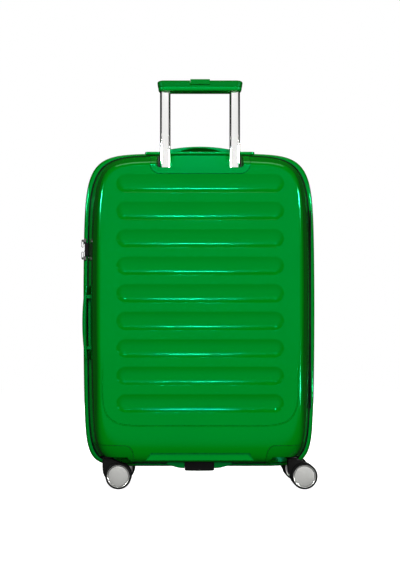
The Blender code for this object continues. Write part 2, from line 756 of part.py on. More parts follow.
def make_guard(half, end, hand, label):
    """The moulded corner that roofs one wheel well and carries its swivel pin."""
    side = half[0]
    name = f"wheel_housing_{end}_{label}"
    guard = loft(name, half_rings(half, -PROUD), "moulding_green")
    outline = guard_outline(hand)
    corner = prism(f"{name}_corner", outline, "Y", side * 0.14, side * 0.0245)
    boolean(guard, corner, "INTERSECT")
    centre = (hand * PIN_X, side * PIN_Y, 0)
    room = loft(f"{name}_room", half_rings(half, WALL))
    wall = 0.0026
    cut(room, drum(f"{name}_tub", WELL_RADIUS + wall, "Z", centre, 0, WELL_TOP + 0.003, 32))
    well = drum(f"{name}_well", WELL_RADIUS, "Z", centre, -0.01, WELL_TOP, 32)
    hole = drum(f"{name}_pin_hole", 0.0054, "Z", centre, 0.05, 0.08, 12)
    return smooth(cut(guard, room, well, hole), 25)


def make_caster(end, label, hand, side):
    """A swivelling fork and its pair of wheels, all trailing towards +X."""
    pin = Vector((hand * PIN_X, side * PIN_Y, 0))
    axle = pin + Vector((TRAIL, 0, WHEEL_RADIUS))
    tag = f"{end}_{label}"
    arm = [(-0.0090, 0.0600), (0.0085, 0.0600), (0.0120, 0.0560), (0.0200, 0.0535), (0.0290, 0.0490)]
    arm += [(0.0345, 0.0400), (0.0325, 0.0290), (0.0310, 0.0230), (0.0284, 0.0166), (0.0220, 0.0140)]
    arm += [(0.0080, 0.0140), (-0.0010, 0.0180), (-0.0065, 0.0255), (-0.0090, 0.0350)]
    outline = [(pin.x + x, z) for x, z in arm]
    fork = prism(f"fork_{tag}", outline, "Y", pin.y - 0.0072, pin.y + 0.0072, "black_plastic")
    profile = ((0, 0.0590), (0.0135, 0.0590), (0.0135, 0.0619), (0.0050, 0.0619), (0.0050, 0.0700), (0, 0.0700))
    join(fork, turned(f"swivel_{tag}", profile, "Z", pin, 16))
    cut(fork, drum(f"axle_hole_{tag}", 0.0033, "Y", axle, -0.02, 0.02, 12))
    smooth(set_origin(fork, (pin.x, pin.y, WELL_TOP)))
    pin_length = 0.0182
    shaft = drum(f"axle_{tag}", 0.0028, "Y", axle, -pin_length, pin_length, 12, "metal_chrome")
    smooth(set_origin(shaft, axle))
    for place, way in (("outer", side), ("inner", -side)):
        rim = WHEEL_RADIUS
        profile = (
            (0, WHEEL_OUT),
            (rim - 0.0035, WHEEL_OUT),
            (rim, WHEEL_OUT - 0.0020),
            (rim, WHEEL_IN + 0.0015),
            (rim - 0.0025, WHEEL_IN),
            (0.0032, WHEEL_IN),
            (0.0032, 0.0186),
            (0, 0.0186),
        )
        profile = [(radius, way * distance) for radius, distance in profile]
        wheel = turned(f"wheel_{place}_{tag}", profile, "Y", axle, WHEEL_STEPS, "wheel_grey")
        smooth(set_origin(wheel, axle))


# ---------------------------------------------------------------- assembly


def add_pivot(name, point, children):
    """An empty on a joint's axis, with the pieces that turn or slide with it as its children."""
    pivot = bpy.data.objects.new(name, None)
    pivot.location = point
    pivot.empty_display_size = 0.02
    bpy.context.scene.collection.objects.link(pivot)
    bpy.context.view_layer.update()
    for child in children:
        child.parent = pivot
        child.matrix_parent_inverse = pivot.matrix_world.inverted()
    return pivot


def add_pivots():
    """Pivots for the lid, the four casters and the two sliding stages of the trolley."""
    named = bpy.data.objects
    on_lid = [
        "front_shell", "front_lining", "lid_pocket", "zip_tape_front", "lock_body", "lock_release",
        "wheel_housing_front_left", "wheel_housing_front_right", "lock_dial_1", "lock_dial_2", "lock_dial_3",
        "zip_slider_upper", "zip_slider_lower",
    ]
    lid = add_pivot("lid_pivot", (HINGE_X, 0, 0.35), [named[name] for name in on_lid])
    for label in ("upper", "lower"):
        slider = named[f"zip_slider_{label}"]
        pull = named[f"zip_pull_{label}"]
        bpy.context.view_layer.update()
        pull.parent = slider
        pull.matrix_parent_inverse = slider.matrix_world.inverted()
    for end, side in (("rear", -1), ("front", 1)):
        for label, hand in (("left", -1), ("right", 1)):
            tag = f"{end}_{label}"
            wheels = [named[f"{piece}_{tag}"] for piece in ("axle", "wheel_outer", "wheel_inner")]
            axle = add_pivot(f"axle_pivot_{tag}", wheels[0].location, wheels)
            pin = (hand * PIN_X, side * PIN_Y, WELL_TOP)
            swivel = add_pivot(f"swivel_pivot_{tag}", pin, [named[f"fork_{tag}"], axle])
            if end == "front":
                swivel.parent = lid
                swivel.matrix_parent_inverse = lid.matrix_world.inverted()
    grip = ["inner_tube_left", "inner_tube_right", "grip_cover", "grip_base", "grip_button", "release_yoke"]
    stage = add_pivot("grip_slide", (0, TUBE_Y, GRIP_BOTTOM), [named[name] for name in grip])
    mids = [named["mid_tube_left"], named["mid_tube_right"], stage]
    add_pivot("mid_slide", (0, TUBE_Y, POCKET_FLOOR), mids)


def main():
    make_rear_shell()
    make_front_shell()
    make_lining(REAR, "rear_lining")
    make_lining(FRONT, "front_lining")
    make_packing_straps()
    make_lid_pocket()
    make_zip_tapes()
    make_hinge_gusset()
    make_trolley()
    make_top_handle()
    make_side_handle()
    make_bottom_grip()
    make_lock()
    make_zip_sliders()
    for half, end in ((REAR, "rear"), (FRONT, "front")):
        for hand, label in ((-1, "left"), (1, "right")):
            make_guard(half, end, hand, label)
            make_caster(end, label, hand, half[0])
    add_pivots()


clear_scene()
MATERIALS = make_materials()
main()
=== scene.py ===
"""A hard-shell spinner suitcase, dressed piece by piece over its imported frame. Metres, +Z up, rear towards -Y."""

import math

import bmesh
import bpy
import numpy as np
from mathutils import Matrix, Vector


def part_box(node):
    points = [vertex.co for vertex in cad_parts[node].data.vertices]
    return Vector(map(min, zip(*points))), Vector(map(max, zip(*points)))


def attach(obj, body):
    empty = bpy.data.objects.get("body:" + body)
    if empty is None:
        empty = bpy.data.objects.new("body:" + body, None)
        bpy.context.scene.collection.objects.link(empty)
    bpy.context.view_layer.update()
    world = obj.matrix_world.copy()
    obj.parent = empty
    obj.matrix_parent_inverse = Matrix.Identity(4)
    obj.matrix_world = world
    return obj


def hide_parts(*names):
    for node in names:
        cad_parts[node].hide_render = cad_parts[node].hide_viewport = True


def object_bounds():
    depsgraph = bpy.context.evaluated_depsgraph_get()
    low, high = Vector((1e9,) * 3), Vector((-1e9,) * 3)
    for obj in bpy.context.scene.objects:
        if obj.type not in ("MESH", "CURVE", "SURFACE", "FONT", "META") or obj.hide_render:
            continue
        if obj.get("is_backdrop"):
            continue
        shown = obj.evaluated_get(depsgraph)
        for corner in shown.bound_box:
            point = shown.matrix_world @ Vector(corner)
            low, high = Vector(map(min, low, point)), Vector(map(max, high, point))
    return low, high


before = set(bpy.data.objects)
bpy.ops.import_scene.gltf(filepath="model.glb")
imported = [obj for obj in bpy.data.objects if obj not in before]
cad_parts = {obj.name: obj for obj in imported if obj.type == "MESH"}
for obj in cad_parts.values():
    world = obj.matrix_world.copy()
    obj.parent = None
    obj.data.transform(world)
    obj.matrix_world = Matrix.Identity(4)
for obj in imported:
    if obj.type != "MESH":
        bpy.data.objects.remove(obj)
cad_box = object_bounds()

# ---------------------------------------------------------------- camera, floor and light
# A long lens at the height of the case's waist looks straight at its rear, from a little left of centre.
# The floor and the wall behind are plain white, and a dim room leaves the sides of the case in shade.

camera_data = bpy.data.cameras.new("camera")
camera_data.sensor_width = 36.0
camera_data.lens = 1109.0 * 36.0 / 570.0
camera_data.shift_x = 20.0 / 570.0
camera_data.shift_y = 73.0 / 570.0
camera = bpy.data.objects.new("camera", camera_data)
camera.location = (-0.038, -2.217, 0.251)
camera.rotation_euler = (math.radians(90), 0, 0)
bpy.context.scene.collection.objects.link(camera)
bpy.context.scene.camera = camera
bpy.context.scene.view_settings.view_transform = "Standard"


def add_light(name, place, aim, size, power, colour=(1.0, 1.0, 1.0)):
    """A rectangular soft light at place, turned to face aim."""
    data = bpy.data.lights.new(name, "AREA")
    data.shape = "RECTANGLE"
    data.size, data.size_y = size
    data.energy = power
    data.color = colour
    lamp = bpy.data.objects.new(name, data)
    lamp.location = place
    way = np.subtract(aim, place)
    flat = math.hypot(way[0], way[1])
    lamp.rotation_euler = (math.atan2(flat, -way[2]), 0, math.atan2(-way[0], way[1]))
    bpy.context.scene.collection.objects.link(lamp)
    return lamp


add_light("overhead", (0.0, 0.1, 2.6), (0.0, 0.0, 0.3), (2.0, 1.2), 14)
front = add_light("front", (0.1, -3.6, 1.1), (0.0, 0.0, 0.35), (1.6, 1.6), 92)
front.visible_glossy = False
back = add_light("back", (0.3, 3.4, 1.7), (0.0, 0.0, 0.3), (2.4, 1.8), 110)
back.visible_glossy = False
for name, place, aim, size, power in (
    ("rib_strip", (0.004, -1.50, 1.22), (0.0, -0.12, 0.35), (0.25, 0.035), 10.0),
    ("left_strip", (-1.25, -1.02, 0.865), (-0.19, -0.12, 0.5), (0.34, 0.14), 30.0),
    ("right_strip", (1.25, -1.02, 0.865), (0.19, -0.12, 0.5), (0.34, 0.14), 30.0),
    ("right_low_strip", (1.25, -1.02, 0.14), (0.19, -0.12, 0.2), (0.34, 0.06), 12.0),
):
    strip = add_light(name, place, aim, size, power)
    strip.visible_diffuse = False

world = bpy.data.worlds.new("studio")
bpy.context.scene.world = world
world.use_nodes = True
tree = world.node_tree
tree.nodes.clear()
way_in = tree.nodes.new("ShaderNodeTexCoord")
split = tree.nodes.new("ShaderNodeSeparateXYZ")
tree.links.new(way_in.outputs["Generated"], split.inputs["Vector"])
ramp = tree.nodes.new("ShaderNodeMapRange")
ramp.interpolation_type = "SMOOTHSTEP"
ramp.inputs["From Min"].default_value = 0.78
ramp.inputs["From Max"].default_value = 0.975
ramp.inputs["To Min"].default_value = 0.015
ramp.inputs["To Max"].default_value = 1.10
minus = tree.nodes.new("ShaderNodeMath")
minus.operation = "MULTIPLY"
minus.inputs[1].default_value = -1.0
tree.links.new(split.outputs["Y"], minus.inputs[0])
tree.links.new(minus.outputs[0], ramp.inputs["Value"])
room = tree.nodes.new("ShaderNodeBackground")
tree.links.new(ramp.outputs["Result"], room.inputs["Strength"])
wall = tree.nodes.new("ShaderNodeBackground")
wall.inputs["Color"].default_value = (1, 1, 1, 1)
wall.inputs["Strength"].default_value = 1.0
seen = tree.nodes.new("ShaderNodeLightPath")
either = tree.nodes.new("ShaderNodeMixShader")
tree.links.new(seen.outputs["Is Camera Ray"], either.inputs["Fac"])
tree.links.new(room.outputs["Background"], either.inputs[1])
tree.links.new(wall.outputs["Background"], either.inputs[2])
ending = tree.nodes.new("ShaderNodeOutputWorld")
tree.links.new(either.outputs["Shader"], ending.inputs["Surface"])


def mesh_piece(name, points, faces, material=None):
    """A mesh object from an array of points and a list of faces, with its faces turned outwards."""
    mesh = bpy.data.meshes.new(name)
    mesh.from_pydata(points.reshape(-1, 3).tolist(), [], faces)
    bm = bmesh.new()
    bm.from_mesh(mesh)
    bmesh.ops.remove_doubles(bm, verts=bm.verts, dist=1e-6)
    bmesh.ops.recalc_face_normals(bm, faces=bm.faces)
    if bm.calc_volume(signed=True) < 0:
        bmesh.ops.reverse_faces(bm, faces=bm.faces)
    bm.to_mesh(mesh)
    bm.free()
    piece = bpy.data.objects.new(name, mesh)
    bpy.context.scene.collection.objects.link(piece)
    if material:
        mesh.materials.append(material)
    return piece


floor_points = np.array([(-6, -6, -0.0004), (6, -6, -0.0004), (6, 6, -0.0004), (-6, 6, -0.0004)], float)
floor = mesh_piece("floor", floor_points, [[0, 1, 2, 3]])
floor_paint = bpy.data.materials.new("floor_paint")
floor_paint.use_nodes = True
floor_shader = floor_paint.node_tree.nodes["Principled BSDF"]
floor_shader.inputs["Base Color"].default_value = (0.9, 0.9, 0.9, 1)
floor_shader.inputs["Roughness"].default_value = 0.9
floor_shader.inputs["Specular IOR Level"].default_value = 0.0
floor_shader.inputs["Emission Color"].default_value = (1, 1, 1, 1)
floor_shader.inputs["Emission Strength"].default_value = 0.97
floor.data.materials.append(floor_paint)
floor.visible_diffuse = False
floor.visible_glossy = False
floor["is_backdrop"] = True

# ---------------------------------------------------------------- the two hard shells
# Each half of the case is one thin polycarbonate moulding, glossy and dyed green right through.
# Nine shallow channels stiffen its panel, and a crease marks where the panel ends at its sides and foot.

THICK = 0.0026
PROUD = 0.0006
BARREL = 0.024
CROWN = 0.004
AROUND = 400
# Distance from the parting plane, half width, top, bottom, and squareness of the upper and lower corners
REAR_SECTIONS = np.array([
    (0.0055, 0.2205, 0.6535, 0.0430, 7.2, 10.8),
    (0.0600, 0.2120, 0.6440, 0.0470, 7.2, 10.5),
    (0.0950, 0.2065, 0.6380, 0.0515, 7.5, 10.0),
    (0.1270, 0.1935, 0.6210, 0.1210, 9.0, 9.0),
])
FRONT_SECTIONS = np.array([
    (0.0055, 0.2325, 0.6625, 0.0335, 7.7, 10.8),
    (0.0600, 0.2245, 0.6550, 0.0375, 7.6, 10.5),
    (0.0950, 0.2180, 0.6490, 0.0430, 7.5, 10.0),
    (0.1270, 0.1960, 0.6270, 0.1150, 9.0, 9.0),
])
MOUTH = (0.2145, 0.6475, 0.0490, 7.2, 10.8)


def case_loop(y, half_width, top, bottom, upper, lower, count=AROUND):
    """One loop round the case: a superellipse, |across|^p + |up|^p = 1, whose power p is upper above the middle
    and lower below it. The sides bulge with 1 - BARREL up^2, the top falls by CROWN across^2, and the points
    are spread evenly along the loop."""
    turn = np.linspace(0, math.tau, 2401)
    power = np.where(np.sin(turn) > 0, upper, lower)
    reach = (np.abs(np.cos(turn)) ** power + np.abs(np.sin(turn)) ** power) ** (-1 / power)
    across = reach * np.cos(turn)
    up = reach * np.sin(turn)
    x = half_width * across * (1 - BARREL * up**2)
    z = (top + bottom) / 2 + (top - bottom) / 2 * up - CROWN * across**2 * np.maximum(up, 0)
    run = np.concatenate([[0], np.cumsum(np.hypot(np.diff(x), np.diff(z)))])
    even = np.linspace(0, run[-1], count, endpoint=False)
    return np.stack([np.interp(even, run, x), np.full(count, y), np.interp(even, run, z)], axis=1)


def bend_rows(start, corner, end, steps):
    """A quadratic curve of section rows from start to end, pulled towards corner."""
    t = np.linspace(0, 1, steps + 1)[1:, None]
    return (1 - t) ** 2 * start + 2 * t * (1 - t) * corner + t**2 * end


def half_grid(side, sections, inset=0.0, panel_inset=None, start=None, crease=0.0, count=AROUND, bends=16,
              lip=None):
    """Rows of loops from the mouth to the panel, moved inwards by inset, with the mouth's edge rolled by lip.
    Above, the side runs straight to a tight bend at the panel's edge. Near the foot this blends into one long
    curve under the panel. A crease sinks a fine groove just inside the lower part of the panel's edge."""
    panel_inset = inset if panel_inset is None else panel_inset
    sections = sections.copy()
    sections[:3, 1:4] += np.array([-inset, -inset, inset])
    sections[3, 0] -= panel_inset
    mouth, middle, shoulder, panel = sections
    rows = []
    for turn in np.linspace(0, math.pi / 2, 6 if lip else 1):
        pull = lip[0] * (1 - math.sin(turn)) if lip else 0.0
        drop = lip[1] * (1 - math.cos(turn)) if lip else 0.0
        rows.append(mouth + np.array([drop, -pull, -pull, pull, 0, 0]))
    if start is not None:
        rows[0][0] = start
    rows += [(mouth + middle) / 2, middle, shoulder]
    share = (panel[0] - shoulder[0]) / (shoulder[0] - middle[0])
    low_rows = bend_rows(shoulder, shoulder + share * (shoulder - middle), panel, bends + 4)
    turn_in = panel + np.array([0, -0.0065, -0.0060, 0.0060, 0, 0])
    leave = panel + (shoulder - panel) * 0.25
    straight = shoulder + (leave - shoulder) * np.linspace(0, 1, 5)[1:, None]
    high_rows = np.concatenate([straight, bend_rows(leave, panel, turn_in, bends)])
    loops = [case_loop(side * row[0], *row[1:], count) for row in rows]
    for high, low in zip(high_rows, low_rows):
        above = case_loop(side * high[0], *high[1:], count)
        below = case_loop(side * low[0], *low[1:], count)
        share = np.clip((0.24 - above[:, 2:]) / 0.11, 0, 1)
        loops.append(above + (below - above) * share**2 * (3 - 2 * share))
    last = loops[-1]
    centre = last.mean(axis=0)
    for inwards, depth in ((0.0010, crease), (0.0020, crease), (0.0032, 0.0), (0.0062, 0.0)):
        loop = last + (centre - last) * inwards / np.linalg.norm(last - centre, axis=1, keepdims=True)
        fade = np.clip((0.26 - loop[:, 2]) / 0.08, 0, 1)
        loop[:, 1] = side * (panel[0] - depth * fade)
        loops.append(loop)
    return np.array(loops)


def grid_faces(rows, columns, ring=False, caps=True, first=0):
    """Quads of a grid whose columns close into a loop, and its rows too if ring. Caps close the two ends."""
    index = np.arange(rows * columns).reshape(rows, columns) + first
    near = index if ring else index[:-1]
    far = np.roll(index, -1, axis=0) if ring else index[1:]
    quads = np.stack([near, np.roll(near, -1, 1), np.roll(far, -1, 1), far], axis=-1).reshape(-1, 4).tolist()
    if caps and not ring:
        quads += [index[0, ::-1].tolist(), index[-1].tolist()]
    return quads


def skin(name, grid, material=None, ring=False):
    """A closed piece from a grid of rows of loops."""
    return mesh_piece(name, grid, grid_faces(grid.shape[0], grid.shape[1], ring), material)


def many_skins(name, grids, material=None):
    """Several closed grids as one piece."""
    faces = []
    first = 0
    for grid in grids:
        faces += grid_faces(grid.shape[0], grid.shape[1], first=first)
        first += grid.shape[0] * grid.shape[1]
    return mesh_piece(name, np.concatenate([grid.reshape(-1, 3) for grid in grids]), faces, material)


def turn_axes(points, axis):
    """Points made with their depth along Z, laid with it along X, Y or Z."""
    order = {"X": (2, 0, 1), "Y": (0, 2, 1), "Z": (0, 1, 2)}[axis]
    return points[..., order]


def rounded_loop(half_a, half_b, radius, per_corner=6, middle=(0.0, 0.0)):
    """A rectangle with quarter-circle corners, as an array of (a, b)."""
    turn = (np.arange(4)[:, None] + np.linspace(0, 1, per_corner + 1)[None, :]) * math.pi / 2
    sign_a = np.array([1, -1, -1, 1])[:, None]
    sign_b = np.array([1, 1, -1, -1])[:, None]
    a = middle[0] + sign_a * (half_a - radius) + radius * np.cos(turn)
    b = middle[1] + sign_b * (half_b - radius) + radius * np.sin(turn)
    return np.stack([a, b], axis=-1).reshape(-1, 2)


def soft_block(low, high, axis="Z", corner=0.002, edge=0.0006, per_corner=6, steps=4):
    """Grid of a block between two corners, with rounded corners seen along axis and a quarter-circle roll of
    radius edge at both ends."""
    order = {"X": (1, 2, 0), "Y": (0, 2, 1), "Z": (0, 1, 2)}[axis]
    low = np.array(low)[list(order)]
    high = np.array(high)[list(order)]
    middle = (low + high) / 2
    half = (high - low) / 2
    turn = np.linspace(0, math.pi / 2, steps + 1)
    inset = edge * (1 - np.sin(turn))
    depth = edge * (1 - np.cos(turn))
    inset = np.concatenate([inset, inset[::-1]])
    depth = np.concatenate([low[2] + depth, (high[2] - depth)[::-1]])
    rows = []
    for pull, place in zip(inset, depth):
        loop = rounded_loop(half[0] - pull, half[1] - pull, max(corner - pull, 0.0001), per_corner, middle[:2])
        rows.append(np.column_stack([loop, np.full(len(loop), place)]))
    return turn_axes(np.array(rows), axis)


def carve(piece, *others, operation="DIFFERENCE"):
    """Cuts the others out of a piece, or joins or intersects them, and leaves the result in its mesh."""
    for other in others:
        step = piece.modifiers.new(other.name, "BOOLEAN")
        step.operation = operation
        step.solver = "EXACT"
        step.object = other
    bpy.context.view_layer.update()
    ready = piece.evaluated_get(bpy.context.evaluated_depsgraph_get())
    mesh = bpy.data.meshes.new_from_object(ready)
    piece.modifiers.clear()
    piece.data = mesh
    for other in others:
        bpy.data.objects.remove(other, do_unlink=True)
    return piece


def smooth(piece, degrees=32, weighted=False):
    """Smooth shading with sharp edges kept; weighted normals keep a large flat face flat."""
    piece.data.shade_smooth()
    piece.data.set_sharp_from_angle(angle=math.radians(degrees))
    if weighted:
        step = piece.modifiers.new("flat_faces_lead", "WEIGHTED_NORMAL")
        step.keep_sharp = True
    return piece


def channel_grids(side, panel_y):
    """Nine pill-shaped troughs: on the pill of radius r the depth is 4.5 mm - r^2 / 68 mm, eased out to nothing
    at the panel. The pills sink by 8 mm as they shrink, so each trough is deepest near its lower edge."""
    radius = np.array([19.6, 18.4, 17.2, 16.2, 15.2, 14.0, 12.0, 10.0, 8.0, 6.0, 4.0, 2.0, 0.4]) / 1000
    depth = np.array([-0.26, -0.07, 0.26, 0.70, 1.15, 1.62, 2.38, 3.03, 3.56, 3.97, 4.26, 4.44, 4.50]) / 1000
    grids = []
    for number in range(9):
        rows = []
        for r, d in zip(radius, depth):
            middle = (0.0, 0.5805 - 0.0518 * number - 0.0080 * (1 - min(r / 0.0186, 1)))
            loop = rounded_loop(0.1405 + r, r, r, 10, middle)
            rows.append(np.column_stack([loop[:, 0], np.full(len(loop), side * (panel_y - d)), loop[:, 1]]))
        grids.append(np.array(rows))
    return grids


def speckle_group():
    """Fine moulded texture: two noises give a shade near 1, a roughness and a height."""
    group = bpy.data.node_groups.new("moulded_texture", "ShaderNodeTree")
    for title, kind in (("Scale", "NodeSocketFloat"), ("Roughness", "NodeSocketFloat"), ("Spread", "NodeSocketFloat")):
        group.interface.new_socket(title, in_out="INPUT", socket_type=kind)
    for title in ("Shade", "Roughness", "Height"):
        group.interface.new_socket(title, in_out="OUTPUT", socket_type="NodeSocketFloat")
    nodes = group.nodes
    links = group.links
    given = nodes.new("NodeGroupInput")
    result = nodes.new("NodeGroupOutput")
    where = nodes.new("ShaderNodeTexCoord")
    broad = nodes.new("ShaderNodeTexNoise")
    broad.inputs["Scale"].default_value = 9.0
    broad.inputs["Detail"].default_value = 3.0
    fine = nodes.new("ShaderNodeTexNoise")
    fine.inputs["Detail"].default_value = 4.0
    links.new(where.outputs["Object"], broad.inputs["Vector"])
    links.new(where.outputs["Object"], fine.inputs["Vector"])
    links.new(given.outputs["Scale"], fine.inputs["Scale"])
    shade = nodes.new("ShaderNodeMapRange")
    shade.inputs["To Min"].default_value = 0.94
    shade.inputs["To Max"].default_value = 1.06
    links.new(broad.outputs["Fac"], shade.inputs["Value"])
    links.new(shade.outputs["Result"], result.inputs["Shade"])
    offset = nodes.new("ShaderNodeMath")
    offset.operation = "SUBTRACT"
    offset.inputs[1].default_value = 0.5
    links.new(fine.outputs["Fac"], offset.inputs[0])
    spread = nodes.new("ShaderNodeMath")
    spread.operation = "MULTIPLY_ADD"
    links.new(offset.outputs[0], spread.inputs[0])
    links.new(given.outputs["Spread"], spread.inputs[1])
    links.new(given.outputs["Roughness"], spread.inputs[2])
    links.new(spread.outputs[0], result.inputs["Roughness"])
    links.new(fine.outputs["Fac"], result.inputs["Height"])
    return group


TEXTURE = speckle_group()


def moulded(name, colour, roughness, scale=900.0, spread=0.1, bump=0.02, metallic=0.0, tint=None, specular=0.5):
    """A moulded or cast finish: its colour varies a little, and fine texture varies its gloss and its surface."""
    material = bpy.data.materials.new(name)
    material.use_nodes = True
    nodes = material.node_tree.nodes
    links = material.node_tree.links
    shader = nodes["Principled BSDF"]
    shader.inputs["Metallic"].default_value = metallic
    shader.inputs["Specular IOR Level"].default_value = specular
    if tint:
        shader.inputs["Specular Tint"].default_value = (*tint, 1)
    texture = nodes.new("ShaderNodeGroup")
    texture.node_tree = TEXTURE
    texture.inputs["Scale"].default_value = scale
    texture.inputs["Roughness"].default_value = roughness
    texture.inputs["Spread"].default_value = spread
    toned = nodes.new("ShaderNodeVectorMath")
    toned.operation = "SCALE"
    toned.inputs[0].default_value = colour
    links.new(texture.outputs["Shade"], toned.inputs["Scale"])
    links.new(toned.outputs["Vector"], shader.inputs["Base Color"])
    links.new(texture.outputs["Roughness"], shader.inputs["Roughness"])
    relief = nodes.new("ShaderNodeBump")
    relief.inputs["Strength"].default_value = 0.4
    relief.inputs["Distance"].default_value = bump / 1000
    links.new(texture.outputs["Height"], relief.inputs["Height"])
    links.new(relief.outputs["Normal"], shader.inputs["Normal"])
    return material


GREEN_TINT = (0.0, 1.0, 0.42)
shell_gloss = moulded("shell_green_gloss", (0.0, 0.262, 0.006), 0.12, 350.0, 0.05, 0.02, tint=GREEN_TINT)
GUARD_IN = (
    (0.1385, 0.0850), (0.1330, 0.0815), (0.1290, 0.0760), (0.1268, 0.0690), (0.1222, 0.0400), (0.1222, 0.0),
)


def guard_prism(name, side, hand, grow):
    """The region of a corner guard: an outline seen from the rear, carried from near the parting plane outwards."""
    inner = np.array(GUARD_IN)
    inner[:, 0] -= grow
    inner[:3, 1] += grow
    outline = np.concatenate([[(0.3, -0.01), (0.3, 0.0874 + grow)], inner[:-1], [(inner[-1, 0], -0.01)]])
    rows = [np.column_stack([hand * outline[:, 0], np.full(len(outline), y), outline[:, 1]])
            for y in (side * 0.14, side * (0.0245 - grow))]
    return skin(name, np.array(rows))


def bezel_rows(half, low, radius, near, far):
    """A U seen from the rear, with straight sides and quarter-circle lower corners, carried from near to far."""
    turn = np.linspace(0, math.pi / 2, 9)
    right = np.stack([half - radius + radius * np.sin(turn), low + radius - radius * np.cos(turn)], axis=1)
    left = right[::-1] * np.array([-1, 1])
    outline = np.concatenate([[(-half, 0.70)], left, right, [(half, 0.70)]])
    return np.array([np.column_stack([outline[:, 0], np.full(len(outline), y), outline[:, 1]]) for y in (near, far)])


def shell_inside(name, side, sections):
    """The space inside a shell, with a narrow mouth past the lip that the zip is sewn to."""
    walls = half_grid(side, sections, THICK, 0.0078, start=0.0075, count=160, bends=8)
    neck = np.array([case_loop(side * y, *MOUTH, 160) for y in (-0.004, 0.0075)])
    return skin(name, np.concatenate([neck, walls]))


CREASE = 0.0018
REAR_ROLL = (0.0035, 0.0045)
FRONT_ROLL = (0.0045, 0.0100)


def make_shell(name, side, sections, body, cutters, bulges=()):
    rolled = FRONT_ROLL if side > 0 else REAR_ROLL
    shell = skin(name, half_grid(side, sections, crease=CREASE, lip=rolled), shell_gloss)
    inside = shell_inside(name + "_inside", side, sections)
    if bulges:
        carve(inside, *bulges)
    channels = many_skins(name + "_channels", channel_grids(side, sections[3, 0]))
    carve(shell, inside, channels, *cutters)
    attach(smooth(shell, 32, weighted=True), body)
    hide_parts(name.replace("_skin", ""))
    return shell


def block(name, low, high, axis="Z", corner=0.002, edge=0.0002):
    return skin(name, soft_block(low, high, axis, corner, edge, 4, 1))


def scoop_rows(grow):
    """The hand-hold under the trolley side: a trapezium widening downwards, whose roof runs back and up."""
    outline = np.array([(-0.093 - grow, 0.071 + grow), (0.093 + grow, 0.071 + grow), (0.108 + grow, 0.048),
                        (0.108 + grow, 0.02), (-0.108 - grow, 0.02), (-0.108 - grow, 0.048)])
    return np.array([np.column_stack([outline[:, 0], np.full(6, y), outline[:, 1]]) for y in (-0.14, -0.1075 + grow)])


rear_cutters = [
    skin("scoop", scoop_rows(0.0)),
    block("top_recess", (-0.0660, -0.0785, 0.6200), (0.0660, -0.0515, 0.6700), "Z", 0.003),
    block("side_recess", (-0.2400, -0.0580, 0.2620), (-0.2105, -0.0095, 0.3800), "X", 0.004),
    skin("bezel_window", bezel_rows(0.0947, 0.5983, 0.0187, -0.14, -0.0862)),
    block("leg_window_low", (-0.2130, -0.0383, 0.2637), (-0.2030, -0.0117, 0.2793), "X", 0.002),
    block("leg_window_high", (-0.2130, -0.0383, 0.3627), (-0.2030, -0.0117, 0.3783), "X", 0.002),
    guard_prism("guard_window_left", -1, -1, 0.0007),
    guard_prism("guard_window_right", -1, 1, 0.0007),
    block("line_left", (-0.1895, -0.1290, 0.3726), (-0.1640, -0.12665, 0.3733), "Y", 0.0002, 0.0001),
    block("line_right", (0.1640, -0.1290, 0.3726), (0.1895, -0.12665, 0.3733), "Y", 0.0002, 0.0001),
]
rear_bulges = [
    skin("scoop_bulge", scoop_rows(THICK)),
    block("top_bulge", (-0.0686, -0.0811, 0.6174), (0.0686, -0.0489, 0.6700), "Z", 0.003),
    block("side_bulge", (-0.2400, -0.0606, 0.2594), (-0.2079, -0.0069, 0.3826), "X", 0.004),
]
make_shell("rear_shell_skin", -1, REAR_SECTIONS, "root", rear_cutters, rear_bulges)
front_cutters = [
    block("lock_window", (-0.2400, 0.0020, 0.4552), (-0.2100, 0.0503, 0.4808), "X", 0.002),
    guard_prism("front_guard_window_left", 1, -1, 0.0007),
    guard_prism("front_guard_window_right", 1, 1, 0.0007),
]
make_shell("front_shell_skin", 1, FRONT_SECTIONS, "lid", front_cutters)

# ---------------------------------------------------------------- corner guards
# A satin green moulding closes each lower corner, roofs the wheel well, and carries the caster's swivel pin.
# It is screwed to the shell from inside, and stands a little proud of it along a fine shadow gap.

guard_satin = moulded("guard_green_satin", (0.0, 0.235, 0.006), 0.24, 1400.0, 0.12, 0.05, tint=GREEN_TINT)


def round_rod(radius, axis, centre, start, end, around=48, bevel=0.0):
    """Grid of a round bar about an axis, from start to end, with an optional chamfer."""
    turn = np.linspace(0, math.tau, around, endpoint=False)
    rows = []
    for shrink, place in ((bevel, start), (0.0, start + bevel), (0.0, end - bevel), (bevel, end)):
        ring = np.stack([np.cos(turn), np.sin(turn)], axis=1) * (radius - shrink)
        rows.append(np.column_stack([ring, np.full(around, place)]))
    if bevel == 0.0:
        rows = rows[1:3]
    return turn_axes(np.array(rows), axis) + np.array(centre)


for side, sections, end, body in ((-1, REAR_SECTIONS, "rear", "root"), (1, FRONT_SECTIONS, "front", "lid")):
    for hand, label in ((-1, "left"), (1, "right")):
        title = f"corner_guard_{end}_{label}"
        guard = skin(title, half_grid(side, sections, -PROUD, count=260, bends=12), guard_satin)
        carve(guard, guard_prism(title + "_region", side, hand, 0.0), operation="INTERSECT")
        pin = (hand * 0.178, side * 0.080, 0)
        inside = skin(title + "_inside", half_grid(side, sections, THICK, count=160, bends=8))
        carve(inside, skin(title + "_tub", round_rod(0.0551, "Z", pin, -0.02, 0.0655, 64)))
        well = skin(title + "_well", round_rod(0.0525, "Z", pin, -0.02, 0.0625, 96))
        hole = skin(title + "_hole", round_rod(0.0054, "Z", pin, 0.05, 0.08, 24))
        carve(guard, inside, well, hole)
        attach(smooth(guard, 30, weighted=True), body)
        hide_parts(f"wheel_housing_{end}_{label}")

